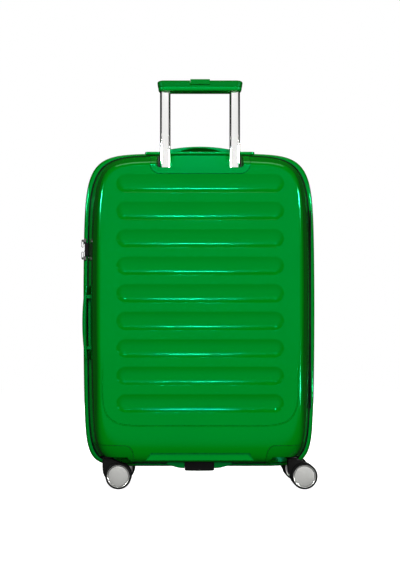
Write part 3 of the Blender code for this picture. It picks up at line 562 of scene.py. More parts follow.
# ---------------------------------------------------------------- zip
# Two black woven tapes are sewn to the lips of the shells, each with a nylon coil along its edge.
# The coils mesh all round the case and part when the sliders run along them.


def weave_group():
    """Plain weave: two sets of sine ridges cross, and each is raised where the other dips."""
    group = bpy.data.node_groups.new("plain_weave", "ShaderNodeTree")
    group.interface.new_socket("Threads", in_out="INPUT", socket_type="NodeSocketFloat")
    for title in ("Height", "Fleck"):
        group.interface.new_socket(title, in_out="OUTPUT", socket_type="NodeSocketFloat")
    nodes = group.nodes
    links = group.links
    given = nodes.new("NodeGroupInput")
    result = nodes.new("NodeGroupOutput")
    where = nodes.new("ShaderNodeTexCoord")
    parts = nodes.new("ShaderNodeSeparateXYZ")
    links.new(where.outputs["Object"], parts.inputs["Vector"])
    around = nodes.new("ShaderNodeMath")
    around.operation = "ADD"
    links.new(parts.outputs["X"], around.inputs[0])
    links.new(parts.outputs["Y"], around.inputs[1])
    ridges = []
    for source in (around.outputs[0], parts.outputs["Z"]):
        scaled = nodes.new("ShaderNodeMath")
        scaled.operation = "MULTIPLY"
        links.new(source, scaled.inputs[0])
        links.new(given.outputs["Threads"], scaled.inputs[1])
        wave = nodes.new("ShaderNodeMath")
        wave.operation = "SINE"
        links.new(scaled.outputs[0], wave.inputs[0])
        ridges.append(wave)
    crossed = nodes.new("ShaderNodeMath")
    crossed.operation = "MULTIPLY"
    links.new(ridges[0].outputs[0], crossed.inputs[0])
    links.new(ridges[1].outputs[0], crossed.inputs[1])
    links.new(crossed.outputs[0], result.inputs["Height"])
    fleck = nodes.new("ShaderNodeTexNoise")
    fleck.inputs["Scale"].default_value = 260.0
    links.new(where.outputs["Object"], fleck.inputs["Vector"])
    links.new(fleck.outputs["Fac"], result.inputs["Fleck"])
    return group


WEAVE = weave_group()


def woven(name, dark, light, threads, relief=0.15, roughness=0.85, sheen=0.2):
    """A woven finish: the two thread colours mix with the weave and with flecks in the yarn."""
    material = bpy.data.materials.new(name)
    material.use_nodes = True
    nodes = material.node_tree.nodes
    links = material.node_tree.links
    shader = nodes["Principled BSDF"]
    shader.inputs["Roughness"].default_value = roughness
    shader.inputs["Sheen Weight"].default_value = sheen
    shader.inputs["Specular IOR Level"].default_value = 0.2
    weave = nodes.new("ShaderNodeGroup")
    weave.node_tree = WEAVE
    weave.inputs["Threads"].default_value = threads
    share = nodes.new("ShaderNodeMath")
    share.operation = "MULTIPLY_ADD"
    share.inputs[1].default_value = 0.35
    links.new(weave.outputs["Height"], share.inputs[0])
    links.new(weave.outputs["Fleck"], share.inputs[2])
    tone = nodes.new("ShaderNodeMix")
    tone.data_type = "RGBA"
    tone.inputs["A"].default_value = (*dark, 1)
    tone.inputs["B"].default_value = (*light, 1)
    links.new(share.outputs[0], tone.inputs["Factor"])
    links.new(tone.outputs["Result"], shader.inputs["Base Color"])
    bump = nodes.new("ShaderNodeBump")
    bump.inputs["Strength"].default_value = 0.6
    bump.inputs["Distance"].default_value = relief / 1000
    links.new(weave.outputs["Height"], bump.inputs["Height"])
    links.new(bump.outputs["Normal"], shader.inputs["Normal"])
    return material


tape_black = woven("zip_tape_black", (0.001, 0.001, 0.001), (0.006, 0.006, 0.006), 4200.0, sheen=0.02)
coil_black = moulded("zip_coil_black", (0.003, 0.003, 0.003), 0.5, specular=0.05)


def rim_loop(y, proud, count):
    """The loop of the rear rim, moved outwards by proud."""
    _, half_width, top, bottom, upper, lower = REAR_SECTIONS[0]
    return case_loop(y, half_width + proud, top + proud, bottom - proud, upper, lower, count)


def coil_grid(y, proud, radius, pitch=0.0022, count=3500, around=8):
    """A cord along the rim whose radius swells by a quarter with a cosine of the distance run, once per pitch."""
    path = rim_loop(0.0, proud, count)
    run = np.cumsum(np.hypot(*np.diff(path[:, [0, 2]], axis=0, prepend=path[-1:, [0, 2]]).T))
    turns = round(run[-1] / pitch)
    swell = radius * (1 + 0.25 * np.cos(math.tau * turns * run / run[-1]))
    ahead = np.roll(path, -1, axis=0) - np.roll(path, 1, axis=0)
    ahead /= np.linalg.norm(ahead, axis=1, keepdims=True)
    out = np.stack([ahead[:, 2], np.zeros(count), -ahead[:, 0]], axis=1)
    turn = np.linspace(0, math.tau, around, endpoint=False)[:, None, None]
    grid = path[None] + swell[None, :, None] * (np.cos(turn) * out[None] + np.sin(turn) * np.array([0, 1, 0]))
    grid[..., 1] += y
    return grid


for side, body, label, proud in ((-1, "root", "rear", 0.0010), (1, "lid", "front", 0.0030)):
    loops = [rim_loop(side * y, offset, 480) for y, offset in
             ((0.0052, proud - 0.0006), (0.0046, proud), (0.0009, proud), (0.0003, proud - 0.0006),
              (0.0003, -0.006), (0.0052, -0.006))]
    tape = skin(f"zip_tape_{label}_cloth", np.array(loops), tape_black, ring=True)
    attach(smooth(tape, 40), body)
    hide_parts(f"zip_tape_{label}")
    coil_proud = proud - 0.0003 if side > 0 else 0.0022
    coil = skin(f"zip_coil_{label}", coil_grid(side * 0.0010, coil_proud, 0.0009), coil_black, ring=True)
    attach(smooth(coil, 60), body)

# ---------------------------------------------------------------- trolley bezel
# A satin green moulding frames the pocket that the trolley grip drops into, open at the top and the rear.
# Its back wall stands forward between the tubes, and a rolled lip hooks over the top of the shell.

bezel_satin = moulded("bezel_green_satin", (0.0, 0.24, 0.006), 0.24, 1300.0, 0.1, 0.04, tint=GREEN_TINT)
bezel = skin("bezel_frame", bezel_rows(0.0940, 0.5990, 0.0180, -0.14, -0.0865), bezel_satin)
carve(bezel, skin("bezel_envelope", half_grid(-1, REAR_SECTIONS, -PROUD, count=300)), operation="INTERSECT")
pocket_plan = np.array([(-0.0825, -0.15), (0.0825, -0.15), (0.0825, -0.0985), (0.0795, -0.0897), (0.0575, -0.0897),
                        (0.0485, -0.0925), (-0.0485, -0.0925), (-0.0575, -0.0897), (-0.0795, -0.0897),
                        (-0.0825, -0.0985)])
pocket_rows = []
for z, pull in ((0.6105, 0.0045), (0.6112, 0.0028), (0.6125, 0.0014), (0.6145, 0.0004), (0.6165, 0.0), (0.75, 0.0)):
    plan = pocket_plan.copy()
    edge = np.abs(plan[:, 0]) > 0.07
    plan[edge, 0] -= np.sign(plan[edge, 0]) * pull
    pocket_rows.append(np.column_stack([plan, np.full(len(plan), z)]))


def tube_loop(stage, hand, z, wall=0.0):
    """Cross-section of a trolley tube: stage 0 is the inner tube, 1 the middle one and 2 the outer one."""
    half_a = 0.0100 + 0.0015 * stage - wall
    half_b = 0.0055 + 0.0015 * stage - wall
    loop = rounded_loop(half_a, half_b, half_b * 0.85, 8, (hand * 0.066, -0.108))
    return np.column_stack([loop, np.full(len(loop), z)])


tube_holes = [np.array([tube_loop(1, hand, z, -0.0003) for z in (0.55, 0.66)]) for hand in (-1, 1)]
under_floor = block("under_floor", (-0.0905, -0.1243, 0.55), (0.0905, -0.08, 0.6065))
carve(bezel, skin("pocket", np.array(pocket_rows)), under_floor)
carve(bezel, many_skins("tube_holes", tube_holes))
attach(smooth(bezel, 30, weighted=True), "root")
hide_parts("trolley_bezel")
# Painted shade: black cards at the back of the tube hollows stand in for the shade in the dark gaps there.
hollow_shade_black = moulded("pocket_painted_shade_black", (0.004, 0.006, 0.004), 0.6)
shade_cards = [soft_block((x - 0.0122, -0.0902, 0.6108), (x + 0.0122, -0.0895, 0.6385), "Y", 0.004, 0.0002, 4, 1)
          for x in (-0.0698, 0.0698)]
shade_card_piece = many_skins("pocket_shade_cards", shade_cards, hollow_shade_black)
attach(smooth(shade_card_piece), "root")
lip_block = soft_block((-0.105, -0.0920, 0.6411), (0.105, -0.0800, 0.6465), "Z", 0.0059, 0.0014, 8, 5)
lip = skin("bezel_lip", lip_block, bezel_satin)
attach(smooth(lip), "root")

# ---------------------------------------------------------------- trolley tubes
# Two sets of three anodised aluminium tubes slide inside each other, with walls 1.2 mm thick.
# The outer tubes end in a black foot bracket inside the case, and steel release rods run down the inner tubes.

anodised = moulded("anodised_satin", (0.97, 0.97, 0.95), 0.05, 700.0, 0.08, 0.01, metallic=1.0)
plated = moulded("plated_steel", (0.60, 0.60, 0.58), 0.18, 900.0, 0.06, 0.01, metallic=1.0)
black_satin = moulded("black_moulding", (0.004, 0.004, 0.004), 0.45, 1600.0, 0.16, 0.06, specular=0.1)


def repaint(material, *nodes):
    """Gives carried-over CAD nodes a finish."""
    for node in nodes:
        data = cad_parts[node].data
        data.materials.clear()
        data.materials.append(material)


for stage, kind, body in ((2, "outer", "root"), (1, "mid", "trolley_mid"), (0, "inner", "trolley_grip")):
    for hand, label in ((-1, "left"), (1, "right")):
        node = f"{kind}_tube_{label}"
        low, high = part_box(node)
        rows = [tube_loop(stage, hand, z, wall) for z, wall in
                ((low[2], 0.0004), (low[2] + 0.0004, 0.0), (high[2] - 0.0004, 0.0), (high[2], 0.0004),
                 (high[2], 0.0012), (low[2], 0.0012))]
        tube = skin(f"{kind}_tube_{label}_drawn", np.array(rows), anodised, ring=True)
        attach(smooth(tube, 40), body)
        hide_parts(node)
repaint(black_satin, "tube_foot_bracket", "top_handle_cup", "side_handle_cup", "lock_catch")
repaint(plated, "release_yoke")

# ---------------------------------------------------------------- trolley grip
# The grip is two green mouldings clipped round the tops of the inner tubes: a bright lower tray and a cap whose darker
# green is painted shade.
# A press button with a lip over the rear edge works the release rods. Two studs underneath stop it on the bezel.

tray_green = moulded("tray_green", (0.0, 0.29, 0.012), 0.42, 900.0, 0.08, 0.03, tint=GREEN_TINT, specular=0.3)
# Painted shade: the cap's darker green stands in for the shade on the grip's upper faces.
cap_painted_shade_green = moulded("cap_painted_shade_green", (0.001, 0.170, 0.002), 0.5, 1300.0, 0.10, 0.05, tint=GREEN_TINT, specular=0.2)
# Painted shade: the press button carries the same darker green, the shade on the top of the grip.
button_painted_shade_green = moulded(
    "button_painted_shade_green", (0.002, 0.200, 0.003), 0.5, 1300.0, 0.10, 0.05, tint=GREEN_TINT, specular=0.2,
)


def grip_rows(rings):
    """Loops of the grip at rising heights: each is a rounded rectangle of (half x, half y, z)."""
    rows = []
    for half_x, half_y, z in rings:
        loop = rounded_loop(half_x, half_y, min(0.0118, half_y - 0.0004), 8, (0, -0.108))
        rows.append(np.column_stack([loop, np.full(len(loop), z)]))
    return np.array(rows)


tray = skin("grip_tray", grip_rows((
    (0.0738, 0.0112, 0.7560), (0.0752, 0.0126, 0.7561), (0.0764, 0.0135, 0.7564), (0.0774, 0.0142, 0.7570),
    (0.0782, 0.0146, 0.7580), (0.0787, 0.0149, 0.7594), (0.0791, 0.0150, 0.7612), (0.0793, 0.0150, 0.7632),
    (0.0791, 0.0148, 0.7637),
)), tray_green)
studs = [round_rod(0.0030, "Z", (hand * 0.037, -0.108, 0), 0.7550, 0.7570, 24, 0.0004) for hand in (-1, 1)]
carve(tray, many_skins("studs", studs), operation="UNION")
carve(tray, block("tray_room", (-0.0765, -0.1205, 0.7590), (0.0765, -0.0955, 0.79), "Z", 0.004))
grip_holes = [np.array([tube_loop(0, hand, z, -0.0003) for z in (0.74, 0.79)]) for hand in (-1, 1)]
carve(tray, many_skins("grip_holes", grip_holes))
cap_rim = []
for turn in np.linspace(0, math.pi / 2, 9):
    over = 1 - math.cos(turn)
    cap_rim.append((0.0808 - 0.0030 * over, 0.0151 - 0.0062 * over, 0.7724 + 0.0040 * math.sin(turn)))
cap = skin("grip_cap", grip_rows((
    (0.0793, 0.0149, 0.7640), (0.0796, 0.0151, 0.7644), (0.0800, 0.01515, 0.7665), (0.0804, 0.01515, 0.7690),
    (0.0807, 0.0151, 0.7710), *cap_rim, (0.0700, 0.0060, 0.7767), (0.0400, 0.0045, 0.7769),
)), cap_painted_shade_green)
carve(cap, block("cap_room", (-0.0765, -0.1205, 0.76), (0.0765, -0.0955, 0.7730), "Z", 0.004))
carve(cap, block("button_slot", (-0.0188, -0.1300, 0.7674), (0.0188, -0.1017, 0.79), "Y", 0.0006))
carve(cap, block("button_groove", (-0.0188, -0.1300, 0.7600), (0.0188, -0.1218, 0.7680), "Y", 0.0004))
button_top = soft_block((-0.0185, -0.1227, 0.7720), (0.0185, -0.1020, 0.7778), "Z", 0.0012, 0.0008, 6, 4)
button = skin("press_button", button_top, button_painted_shade_green)
lip_rows = soft_block((-0.0185, -0.1242, 0.7677), (0.0185, -0.1222, 0.7775), "X", 0.0008, 0.0004, 5, 3)
button_lip = skin("button_lip", lip_rows)
carve(button, button_lip, operation="UNION")
for piece, node, body in ((tray, "grip_base", "trolley_grip"), (cap, "grip_cover", "trolley_grip"),
                          (button, "grip_button", "grip_release")):
    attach(smooth(piece, 30, weighted=True), body)
    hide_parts(node)

# ---------------------------------------------------------------- carry handles
# Both handles are satin green mouldings whose hooked legs slide in black cups, so that each lifts for the fingers.
# The top one is a low arch over the lip of the bezel, and the side one a longer bow on the left.

handle_green = moulded("handle_green", (0.0, 0.19, 0.010), 0.28, 1200.0, 0.1, 0.04, tint=GREEN_TINT)


def arch_grid(stations, under, over, near, far, corner=0.0016, per_corner=5):
    """A bar along stations: at each, a rounded rectangle between under and over, and between near and far.
    The last few stations at each end shrink it by a quarter ellipse, so that it ends round."""
    place = np.linspace(-1, 1, stations)
    ends = np.sqrt(1 - np.clip((np.abs(place) - 0.955) / 0.045, 0, 1) ** 2 * 0.97)
    middle = (under(place) + over(place)) / 2
    half = (over(place) - under(place)) / 2 * ends
    depth = (far - near) / 2 - 0.002 * (1 - ends)
    rows = []
    for m, h, d in zip(middle, half, depth):
        rows.append(rounded_loop(d, h, min(corner, h * 0.9), per_corner, ((near + far) / 2, m)))
    return place, np.array(rows)


def lean(y):
    """The underside of the arch falls towards the front of the case."""
    return 0.0030 * (y + 0.0760) / 0.0220


place, loops = arch_grid(45, lambda p: np.maximum(0.6560 - 0.0045 * (0.068 * p / 0.031) ** 2, 0.6470),
                         lambda p: 0.6593 - 0.0051 * (0.068 * p / 0.057) ** 2, -0.0760, -0.0540)
arch = np.concatenate([np.broadcast_to(0.068 * place[:, None, None], (*loops.shape[:2], 1)), loops], axis=2)
middle = arch[..., 2].mean(axis=1, keepdims=True)
arch[..., 2] -= np.where(arch[..., 2] < middle, lean(arch[..., 1]), 0.0)
top_handle = skin("top_handle_arch", arch, handle_green)
for hand in (-1, 1):
    x = sorted((hand * 0.0520, hand * 0.0600))
    leg = soft_block((x[0], -0.0758, 0.6236), (x[1], -0.0542, 0.6500), "Z", 0.0015, 0.0004, 4, 2)
    hook_x = sorted((hand * 0.0560, hand * 0.0634))
    hook = soft_block((hook_x[0], -0.0756, 0.6236), (hook_x[1], -0.0544, 0.6259), "Z", 0.0015, 0.0004, 4, 2)
    carve(top_handle, skin(f"arch_leg_{hand}", leg), skin(f"arch_hook_{hand}", hook), operation="UNION")
place, loops = arch_grid(
    61, lambda p: -0.2228 + 0.0029 * p**2, lambda p: -0.2300 + 0.0055 * p**2, -0.0360, -0.0140, 0.0020,
)
height = np.broadcast_to(0.321 + 0.074 * place[:, None], loops.shape[:2])
bow = np.stack([loops[..., 1], loops[..., 0], height], axis=-1)
side_handle = skin("side_handle_bow", bow, handle_green)
for low, high, foot in ((0.2675, 0.2740, (0.2675, 0.2770)), (0.3680, 0.3745, (0.3650, 0.3745))):
    leg = soft_block((-0.2240, -0.0358, low), (-0.1985, -0.0142, high), "X", 0.0012, 0.0003, 4, 2)
    hook = soft_block((-0.2002, -0.0358, foot[0]), (-0.1984, -0.0142, foot[1]), "X", 0.0012, 0.0003, 4, 2)
    carve(side_handle, skin(f"bow_leg_{foot[0]}", leg), skin(f"bow_hook_{foot[0]}", hook), operation="UNION")
for piece, node, body in ((top_handle, "top_handle", "top_handle_body"),
                          (side_handle, "side_handle", "side_handle_body")):
    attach(smooth(piece, 35, weighted=True), body)
    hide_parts(node)

# ---------------------------------------------------------------- bottom hand-hold
# A green foot moulding under the parting edge carries a black finger grip, for lifting the case flat.
# It is screwed to the rear shell from inside.


def foot_rows(outline, ends, edge=0.0010):
    """An outline seen from the rear, carried back, whose top edge is given at each end; its edges are rolled."""
    rows = []
    for y, top, pull in ((ends[0][0], ends[0][1], edge), (ends[0][0] - edge, ends[0][1], 0.0),
                         (ends[1][0] + edge, ends[1][1], 0.0), (ends[1][0], ends[1][1], edge)):
        low = np.array(outline)
        low = low * (1 - pull / 0.06, 1)
        low[:, 1] += pull
        half = low[-1, 0]
        loop = np.concatenate([[(-half, top)], low, [(half, top)]])
        rows.append(np.column_stack([loop[:, 0], np.full(len(loop), y), loop[:, 1]]))
    return np.array(rows)


def eased(points, passes=2):
    """An open line with its corners cut back by a quarter of each side, passes times; its ends stay."""
    line = np.array(points, float)
    for _ in range(passes):
        near_cut, far_cut = 0.75 * line[:-1] + 0.25 * line[1:], 0.25 * line[:-1] + 0.75 * line[1:]
        cut = np.stack([near_cut, far_cut], axis=1).reshape(-1, 2)
        line = np.concatenate([line[:1], cut[1:-1], line[-1:]])
    return line


foot_curve = eased([(-0.064, 0.0418), (-0.050, 0.0385), (-0.036, 0.0345),
                    (0.036, 0.0345), (0.050, 0.0385), (0.064, 0.0418)], 3)
grip_curve = eased([(-0.029, 0.0335), (-0.0285, 0.0312), (-0.025, 0.0300),
                    (0.025, 0.0300), (0.0285, 0.0312), (0.029, 0.0335)], 3)
foot = skin("hand_hold_foot", foot_rows(foot_curve,
                                        ((-0.0140, 0.0433), (-0.0460, 0.0456))), guard_satin)
carve(foot, block("grip_notch", (-0.0293, -0.05, 0.03), (0.0293, -0.0277, 0.05), "Z", 0.0006))
finger_grip = skin("hand_hold_grip", foot_rows(grip_curve,
                                               ((-0.0280, 0.0442), (-0.0470, 0.0457))), black_satin)
for piece, node, name in ((foot, "bottom_grip_base", "moulding_green"),
                          (finger_grip, "bottom_grip", "black_plastic")):
    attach(smooth(piece, 30, weighted=True), "root")
    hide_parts(node)

# ---------------------------------------------------------------- casters
# Each caster is a black fork that swivels on a steel pin, with a twin pair of wheels trailing beside its fin.
# A wheel is a black rubber tyre on a hub, with a satin grey cap pressed into each outer face.

fork_black = moulded("fork_black", (0.003, 0.003, 0.003), 0.38, 1500.0, 0.12, 0.05, specular=0.1)
tyre_black = moulded("tyre_black", (0.004, 0.004, 0.004), 0.55, 2200.0, 0.15, 0.08, specular=0.1)
hub_grey = moulded("hub_cap_grey", (0.52, 0.52, 0.50), 0.30, 1800.0, 0.14, 0.05, metallic=0.55)


def turned_grid(profile, axis, centre, around=72):
    """A profile of (radius, distance) rows turned round an axis."""
    turn = np.linspace(0, math.tau, around, endpoint=False)
    radius, distance = np.array(profile).T
    ring = np.stack([np.outer(radius, np.cos(turn)), np.outer(radius, np.sin(turn))], axis=-1)
    grid = np.concatenate([ring, np.broadcast_to(distance[:, None, None], (*ring.shape[:2], 1))], axis=2)
    return turn_axes(grid, axis) + np.array(centre)


def closed_eased(points, passes=3):
    """A closed outline with every corner cut back by a quarter of each side, passes times."""
    line = np.array(points, float)
    for _ in range(passes):
        after = np.roll(line, -1, axis=0)
        line = np.stack([0.75 * line + 0.25 * after, 0.25 * line + 0.75 * after], axis=1).reshape(-1, 2)
    return line


def plate_grid(outline, axis, start, end, edge, steps=4):
    """An outline carried along axis, whose two rims are rolled by moving its points inwards along their normals."""
    ahead = np.roll(outline, -1, axis=0) - np.roll(outline, 1, axis=0)
    normal = np.stack([ahead[:, 1], -ahead[:, 0]], axis=1) / np.linalg.norm(ahead, axis=1, keepdims=True)
    area = 0.5 * np.sum(outline[:, 0] * np.roll(outline[:, 1], -1) - np.roll(outline[:, 0], -1) * outline[:, 1])
    normal *= math.copysign(1, area)
    turn = np.linspace(0, math.pi / 2, steps + 1)
    pull = np.concatenate([edge * (1 - np.sin(turn)), (edge * (1 - np.sin(turn)))[::-1]])
    place = np.concatenate([start + edge * (1 - np.cos(turn)), (end - edge * (1 - np.cos(turn)))[::-1]])
    rows = [np.column_stack([outline - normal * p, np.full(len(outline), d)]) for p, d in zip(pull, place)]
    return turn_axes(np.array(rows), axis)


fork_side = [(-0.0092, 0.0600), (0.0090, 0.0600), (0.0125, 0.0562), (0.0200, 0.0537), (0.0290, 0.0490),
             (0.0345, 0.0400), (0.0335, 0.0290), (0.0310, 0.0205), (0.0250, 0.0145), (0.0160, 0.0138),
             (0.0060, 0.0145), (-0.0015, 0.0180), (-0.0068, 0.0255), (-0.0092, 0.0350), (-0.0094, 0.0480)]
tread_profile = [(0.0212, 0.0207), (0.0225, 0.0212), (0.0238, 0.0208), (0.0246, 0.0199), (0.0250, 0.0185),
                 (0.0250, 0.0105), (0.0246, 0.0090), (0.0236, 0.0081), (0.0220, 0.0080), (0.0100, 0.0080),
                 (0.0100, 0.0190), (0.0212, 0.0190)]
cap_profile = [(0.0, 0.0207), (0.0060, 0.0205), (0.0100, 0.0202), (0.0140, 0.0198), (0.0175, 0.0193),
               (0.0196, 0.0189), (0.0201, 0.0192), (0.0204, 0.0207), (0.0208, 0.0210), (0.0212, 0.0210), (0.0215, 0.0206),
               (0.0215, 0.0186), (0.0, 0.0186)]
collar_profile = [(0, 0.0580), (0.0128, 0.0580), (0.0135, 0.0587), (0.0135, 0.0612), (0.0128, 0.0619),
                  (0.0050, 0.0619), (0.0050, 0.0696), (0.0046, 0.0700), (0, 0.0700)]
swivel_x, swivel_y, trail, wheel_radius, half_fork = 0.178, 0.080, 0.022, 0.025, 0.0071
for end, side in (("rear", -1), ("front", 1)):
    for label, hand in (("left", -1), ("right", 1)):
        tag = f"{end}_{label}"
        pin = np.array([hand * swivel_x, side * swivel_y, 0.0])
        axle = pin + np.array([trail, 0, wheel_radius])
        outline = closed_eased(fork_side) + pin[[0, 2]]
        plate = plate_grid(outline, "Y", pin[1] - half_fork, pin[1] + half_fork, 0.0022)
        fork = skin(f"caster_fork_{tag}", plate, fork_black)
        collar = turned_grid(collar_profile, "Z", pin, 48)
        carve(fork, skin(f"caster_collar_{tag}", collar), operation="UNION")
        carve(fork, skin(f"caster_bore_{tag}", round_rod(0.0033, "Y", axle, -0.02, 0.02, 24)))
        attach(smooth(fork, 30), f"caster_{tag}")
        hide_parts(f"fork_{tag}")
        for place, way in (("outer", side), ("inner", -side)):
            tread = np.array(tread_profile) * (1, way)
            tyre = skin(f"tyre_{place}_{tag}", turned_grid(tread, "Y", axle, 96), tyre_black, ring=True)
            face = np.array(cap_profile) * (1, way)
            hub = skin(f"hub_cap_{place}_{tag}", turned_grid(face, "Y", axle, 96), hub_grey)
            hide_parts(f"wheel_{place}_{tag}")
            for piece in (tyre, hub):
                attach(smooth(piece, 40), f"wheels_{tag}")
        repaint(plated, f"axle_{tag}")

# ---------------------------------------------------------------- lock
# A black lock case clipped into the front half holds three knurled dials and a sliding release.
# The dials are turned plastic on one spindle, and the release is plated metal with a ridge to push on.

lock_black = moulded("lock_black", (0.007, 0.007, 0.008), 0.36, 1500.0, 0.12, 0.04)
dial_grey = moulded("dial_grey", (0.16, 0.16, 0.16), 0.32, 1800.0, 0.12, 0.03, metallic=0.6)


def knurled_grid(centre, radius, half, teeth=20, around=160):
    """A drum along Y whose radius dips by 4% with the cosine of teeth turns, and is eased at both rims."""
    turn = np.linspace(0, math.tau, around, endpoint=False)
    rows = []
    for y, share in ((-half, 0.90), (-half + 0.0003, 0.96), (-half * 0.6, 1.0), (half * 0.6, 1.0),
                     (half - 0.0003, 0.96), (half, 0.90)):
        r = radius * share * (0.98 + 0.02 * np.cos(teeth * turn))
        rows.append(np.column_stack([r * np.cos(turn), np.full(around, y), r * np.sin(turn)]))
    return np.array(rows) + np.array(centre)


case = soft_block((-0.2290, 0.0058, 0.4555), (-0.2150, 0.0500, 0.4805), "X", 0.003, 0.0009)
lock = skin("lock_case", case, lock_black)
dial_places = (0.0225, 0.0305, 0.0385)
slots = [block(f"dial_slot_{y}", (-0.2330, y - 0.0026, 0.4614), (-0.2178, y + 0.0026, 0.4746), "X", 0.0006)
         for y in dial_places]
track = block("release_track", (-0.2330, 0.0085, 0.4600), (-0.2270, 0.0165, 0.4760), "X", 0.0010)
carve(lock, track, *slots)
thumb = soft_block((-0.2293, 0.0088, 0.4603), (-0.2273, 0.0162, 0.4703), "X", 0.001, 0.0004)
release = skin("lock_thumb_slide", thumb, plated)
ridge = skin("thumb_ridge", soft_block((-0.2305, 0.0096, 0.4640), (-0.2285, 0.0154, 0.4666), "X", 0.0008, 0.0005))
carve(release, ridge, operation="UNION")
for piece, node, body, name in ((lock, "lock_body", "lid", "black_plastic"),
                                (release, "lock_release", "lock_release_body", "metal_chrome")):
    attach(smooth(piece, 35), body)
    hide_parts(node)
for number, y in enumerate(dial_places, 1):
    dial = skin(f"number_dial_{number}", knurled_grid((-0.2246, y, 0.468), 0.0058, 0.0021), dial_grey)
    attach(smooth(dial, 50), f"dial_{number}")
    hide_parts(f"lock_dial_{number}")

# ---------------------------------------------------------------- zip sliders and pulls
# Two cast metal sliders run on the zip and meet at the lock.
# Each has a pair of ears with a pin through them, and a wire loop for a pull hangs from the pin.

cast_metal = moulded("cast_zip_metal", (0.13, 0.13, 0.125), 0.24, 1600.0, 0.12, 0.03, metallic=1.0)


def wire_loop(path, across, deep, around=16):
    """A closed wire along path in the XZ plane, an ellipse in section: across in the plane, deep along Y."""
    ahead = np.roll(path, -1, axis=0) - np.roll(path, 1, axis=0)
    ahead /= np.linalg.norm(ahead, axis=1, keepdims=True)
    out = np.stack([ahead[:, 2], np.zeros(len(path)), -ahead[:, 0]], axis=1)
    turn = np.linspace(0, math.tau, around, endpoint=False)[:, None, None]
    return path[None] + across * np.cos(turn) * out[None] + deep * np.sin(turn) * np.array([0, 1, 0])


for label, pivot, low_z in (("upper", 0.4857, 0.4812), ("lower", 0.4503, 0.4458)):
    casting = soft_block((-0.2300, 0.0006, low_z), (-0.2252, 0.0050, low_z + 0.0090), "X", 0.0018, 0.0007)
    slider = skin(f"zip_slider_{label}_cast", casting, cast_metal)
    ears = [block(f"ear_{y}", (-0.2340, y, pivot - 0.0022), (-0.2292, y + 0.0010, pivot + 0.0022), "Y", 0.0012)
            for y in (0.0006, 0.0040)]
    pin = skin("slider_pin", round_rod(0.0005, "Y", (-0.2328, 0.0028, pivot), -0.0016, 0.0016, 16))
    carve(slider, *ears, pin, operation="UNION")
    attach(smooth(slider, 35), f"slider_{label}")
    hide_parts(f"zip_slider_{label}")
    low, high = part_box(f"zip_pull_{label}")
    middle = (np.array(low) + np.array(high)) / 2
    half = (np.array(high) - np.array(low)) / 2
    ring = rounded_loop(half[0] - 0.0006, half[2] - 0.0006, half[0] - 0.00061, 12)
    path = np.column_stack([ring[:, 0] + middle[0], np.full(len(ring), middle[1]), ring[:, 1] + middle[2]])
    pull = skin(f"zip_pull_{label}_wire", wire_loop(path, 0.0006, half[1]), cast_metal, ring=True)
    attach(smooth(pull, 60), f"pull_{label}")
    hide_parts(f"zip_pull_{label}")

# ---------------------------------------------------------------- linings and packing straps
# A grey woven lining is stretched inside each half. It goes round the wheel wells, the trolley and the cups.
# Two elastic straps cross over the rear half and meet at a moulded buckle.

lining_cloth = woven("lining_weave", (0.030, 0.031, 0.034), (0.085, 0.088, 0.095), 2200.0)
strap_web = woven("strap_webbing", (0.004, 0.004, 0.005), (0.020, 0.020, 0.022), 1500.0, 0.25)


CLOTH = 0.0010
LINING_INSET = 0.0034
LINING_DEEP = 0.0085


def lining_rooms(side, name, grow):
    """The wells, tunnel, cups and lock that a lining goes round, grown by the fabric's thickness."""
    radius, top = 0.0575 + grow, 0.0745 + grow
    profile = [(0, 0.0), (radius, 0.0), (radius, top - 0.0020), (radius - 0.0020, top), (0, top)]
    wells = [turned_grid(profile, "Z", (hand * swivel_x, side * swivel_y, 0), 64) for hand in (-1, 1)]
    tunnel = ((-0.0960, -0.14, 0.0), (0.0960, -0.0858, 0.7))
    scoop = ((-0.1120, -0.14, 0.0), (0.1120, -0.1035, 0.0750))
    top_cup = ((-0.0705, -0.0832, 0.6155), (0.0705, -0.0468, 0.7))
    side_cup = ((-0.24, -0.0625, 0.2575), (-0.1948, -0.0050, 0.3845))
    lock_room = ((-0.24, 0.001, 0.4480), (-0.2120, 0.0540, 0.4880))
    boxes = [lock_room] if side > 0 else [tunnel, scoop, top_cup, side_cup]
    solids = [skin(f"{name}_well_{i}", well) for i, well in enumerate(wells)]
    for i, (low, high) in enumerate(boxes):
        solids.append(block(f"{name}_room_{i}", np.array(low) - grow, np.array(high) + grow, "Z", 0.004, 0.001))
    return solids


for side, sections, label, body in ((-1, REAR_SECTIONS, "rear", "root"), (1, FRONT_SECTIONS, "front", "lid")):
    outer = half_grid(side, sections, LINING_INSET, LINING_DEEP, 0.0078, count=200, bends=8)
    inner = half_grid(side, sections, LINING_INSET + CLOTH, LINING_DEEP + CLOTH, -0.004, count=200, bends=8)
    pan = skin(f"{label}_lining_cloth", outer, lining_cloth)
    room = skin(f"{label}_room", inner)
    carve(room, *lining_rooms(side, f"{label}_inner", CLOTH))
    carve(pan, *lining_rooms(side, f"{label}_outer", 0.0))
    carve(pan, room)
    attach(smooth(pan, 30), body)
    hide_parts(f"{label}_lining")


def strap_grid(hand, near, far, steps=60):
    """A flat strap from one side of the case up to the other, whose section is a thin rounded rectangle."""
    share = np.linspace(0, 1, steps)[:, None, None]
    section = rounded_loop(0.0170, (far - near) / 2, (far - near) / 2 - 0.00001, 4, (0.0, (near + far) / 2))
    x = -hand * 0.2150 + 2 * hand * 0.2150 * share
    z = 0.1464 + 0.4072 * share + section[None, :, :1]
    return np.concatenate([np.broadcast_to(x, z.shape), np.broadcast_to(section[None, :, 1:], z.shape), z], axis=2)


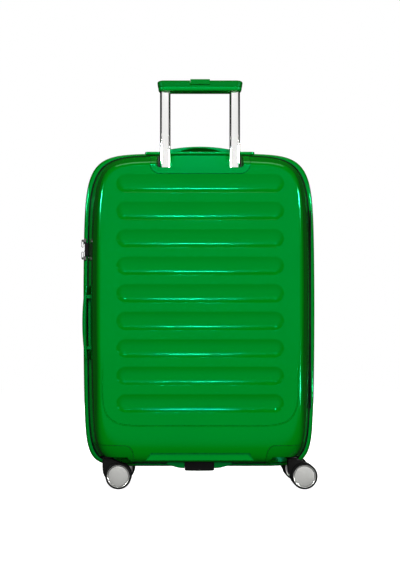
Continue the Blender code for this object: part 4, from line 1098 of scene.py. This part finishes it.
crossing = [strap_grid(-1, -0.0105, -0.0098), strap_grid(1, -0.0097, -0.0090)]
straps = many_skins("packing_straps_web", crossing, strap_web)
buckle_case = soft_block((-0.024, -0.0087, 0.333), (0.024, -0.0045, 0.367), "Y", 0.006, 0.0012)
buckle = skin("strap_buckle_moulded", buckle_case, lock_black)
groove = block("buckle_groove", (-0.0165, -0.0051, 0.3492), (0.0165, -0.0040, 0.3508), "Y", 0.0006)
carve(buckle, groove)
for piece, node, name in ((straps, "packing_straps", "zip_black"), (buckle, "strap_buckle", "black_plastic")):
    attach(smooth(piece, 35), "root")
    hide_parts(node)

# ---------------------------------------------------------------- lid pocket and hinge gusset
# The lid's lining carries a soft zipped pocket, padded a little, with its zip sewn across near the top.
# Down the hinge side the halves are joined by a pleated band of the zip's own tape.

pocket_cloth = woven("pocket_weave", (0.045, 0.046, 0.050), (0.105, 0.108, 0.116), 1700.0, 0.2)


def pillow_grid(half_x, half_z, radius, middle, flat, crown, steps=40):
    """Rounded loops that shrink towards the middle from a flat back; the front rises by crown times 1 - s^5."""
    rows = []
    for s in np.concatenate([[1.0], np.linspace(1.0, 0.02, steps)]):
        loop = rounded_loop(half_x * s, half_z * s, radius * s, 12, middle)
        rise = crown * (1 - s**5) + 0.0004 if rows else 0.0
        rows.append(np.column_stack([loop[:, 0], np.full(len(loop), flat - rise), loop[:, 1]]))
    return np.array(rows)


pouch = skin("lid_pocket_padded", pillow_grid(0.160, 0.215, 0.030, (0.0, 0.345), 0.1165, 0.0065), pocket_cloth)
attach(smooth(pouch, 40), "lid")
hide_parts("lid_pocket")
zip_strip = soft_block((-0.130, 0.1108, 0.5260), (0.130, 0.1135, 0.5320), "Y", 0.0025, 0.0008)
pocket_zip = skin("lid_pocket_zip", zip_strip, tape_black)
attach(smooth(pocket_zip, 40), "lid")

pleats = np.linspace(-0.0052, -0.0006, 37)
fold = 0.0004 * (1 - np.cos(math.tau * 3 * (pleats + 0.0052) / 0.0046))
outside, inside = np.column_stack([0.2236 - fold, pleats]), np.column_stack([0.2224 - fold, pleats])
section = np.concatenate([outside, inside[::-1]])
gusset_rows = [np.column_stack([section, np.full(len(section), z)]) for z in np.linspace(0.150, 0.545, 80)]
gusset = skin("hinge_gusset_pleats", np.array(gusset_rows), tape_black)
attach(smooth(gusset, 40), "root")
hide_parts("hinge_gusset")

# end-of-draft
(cad_low, cad_high), (low, high) = cad_box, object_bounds()
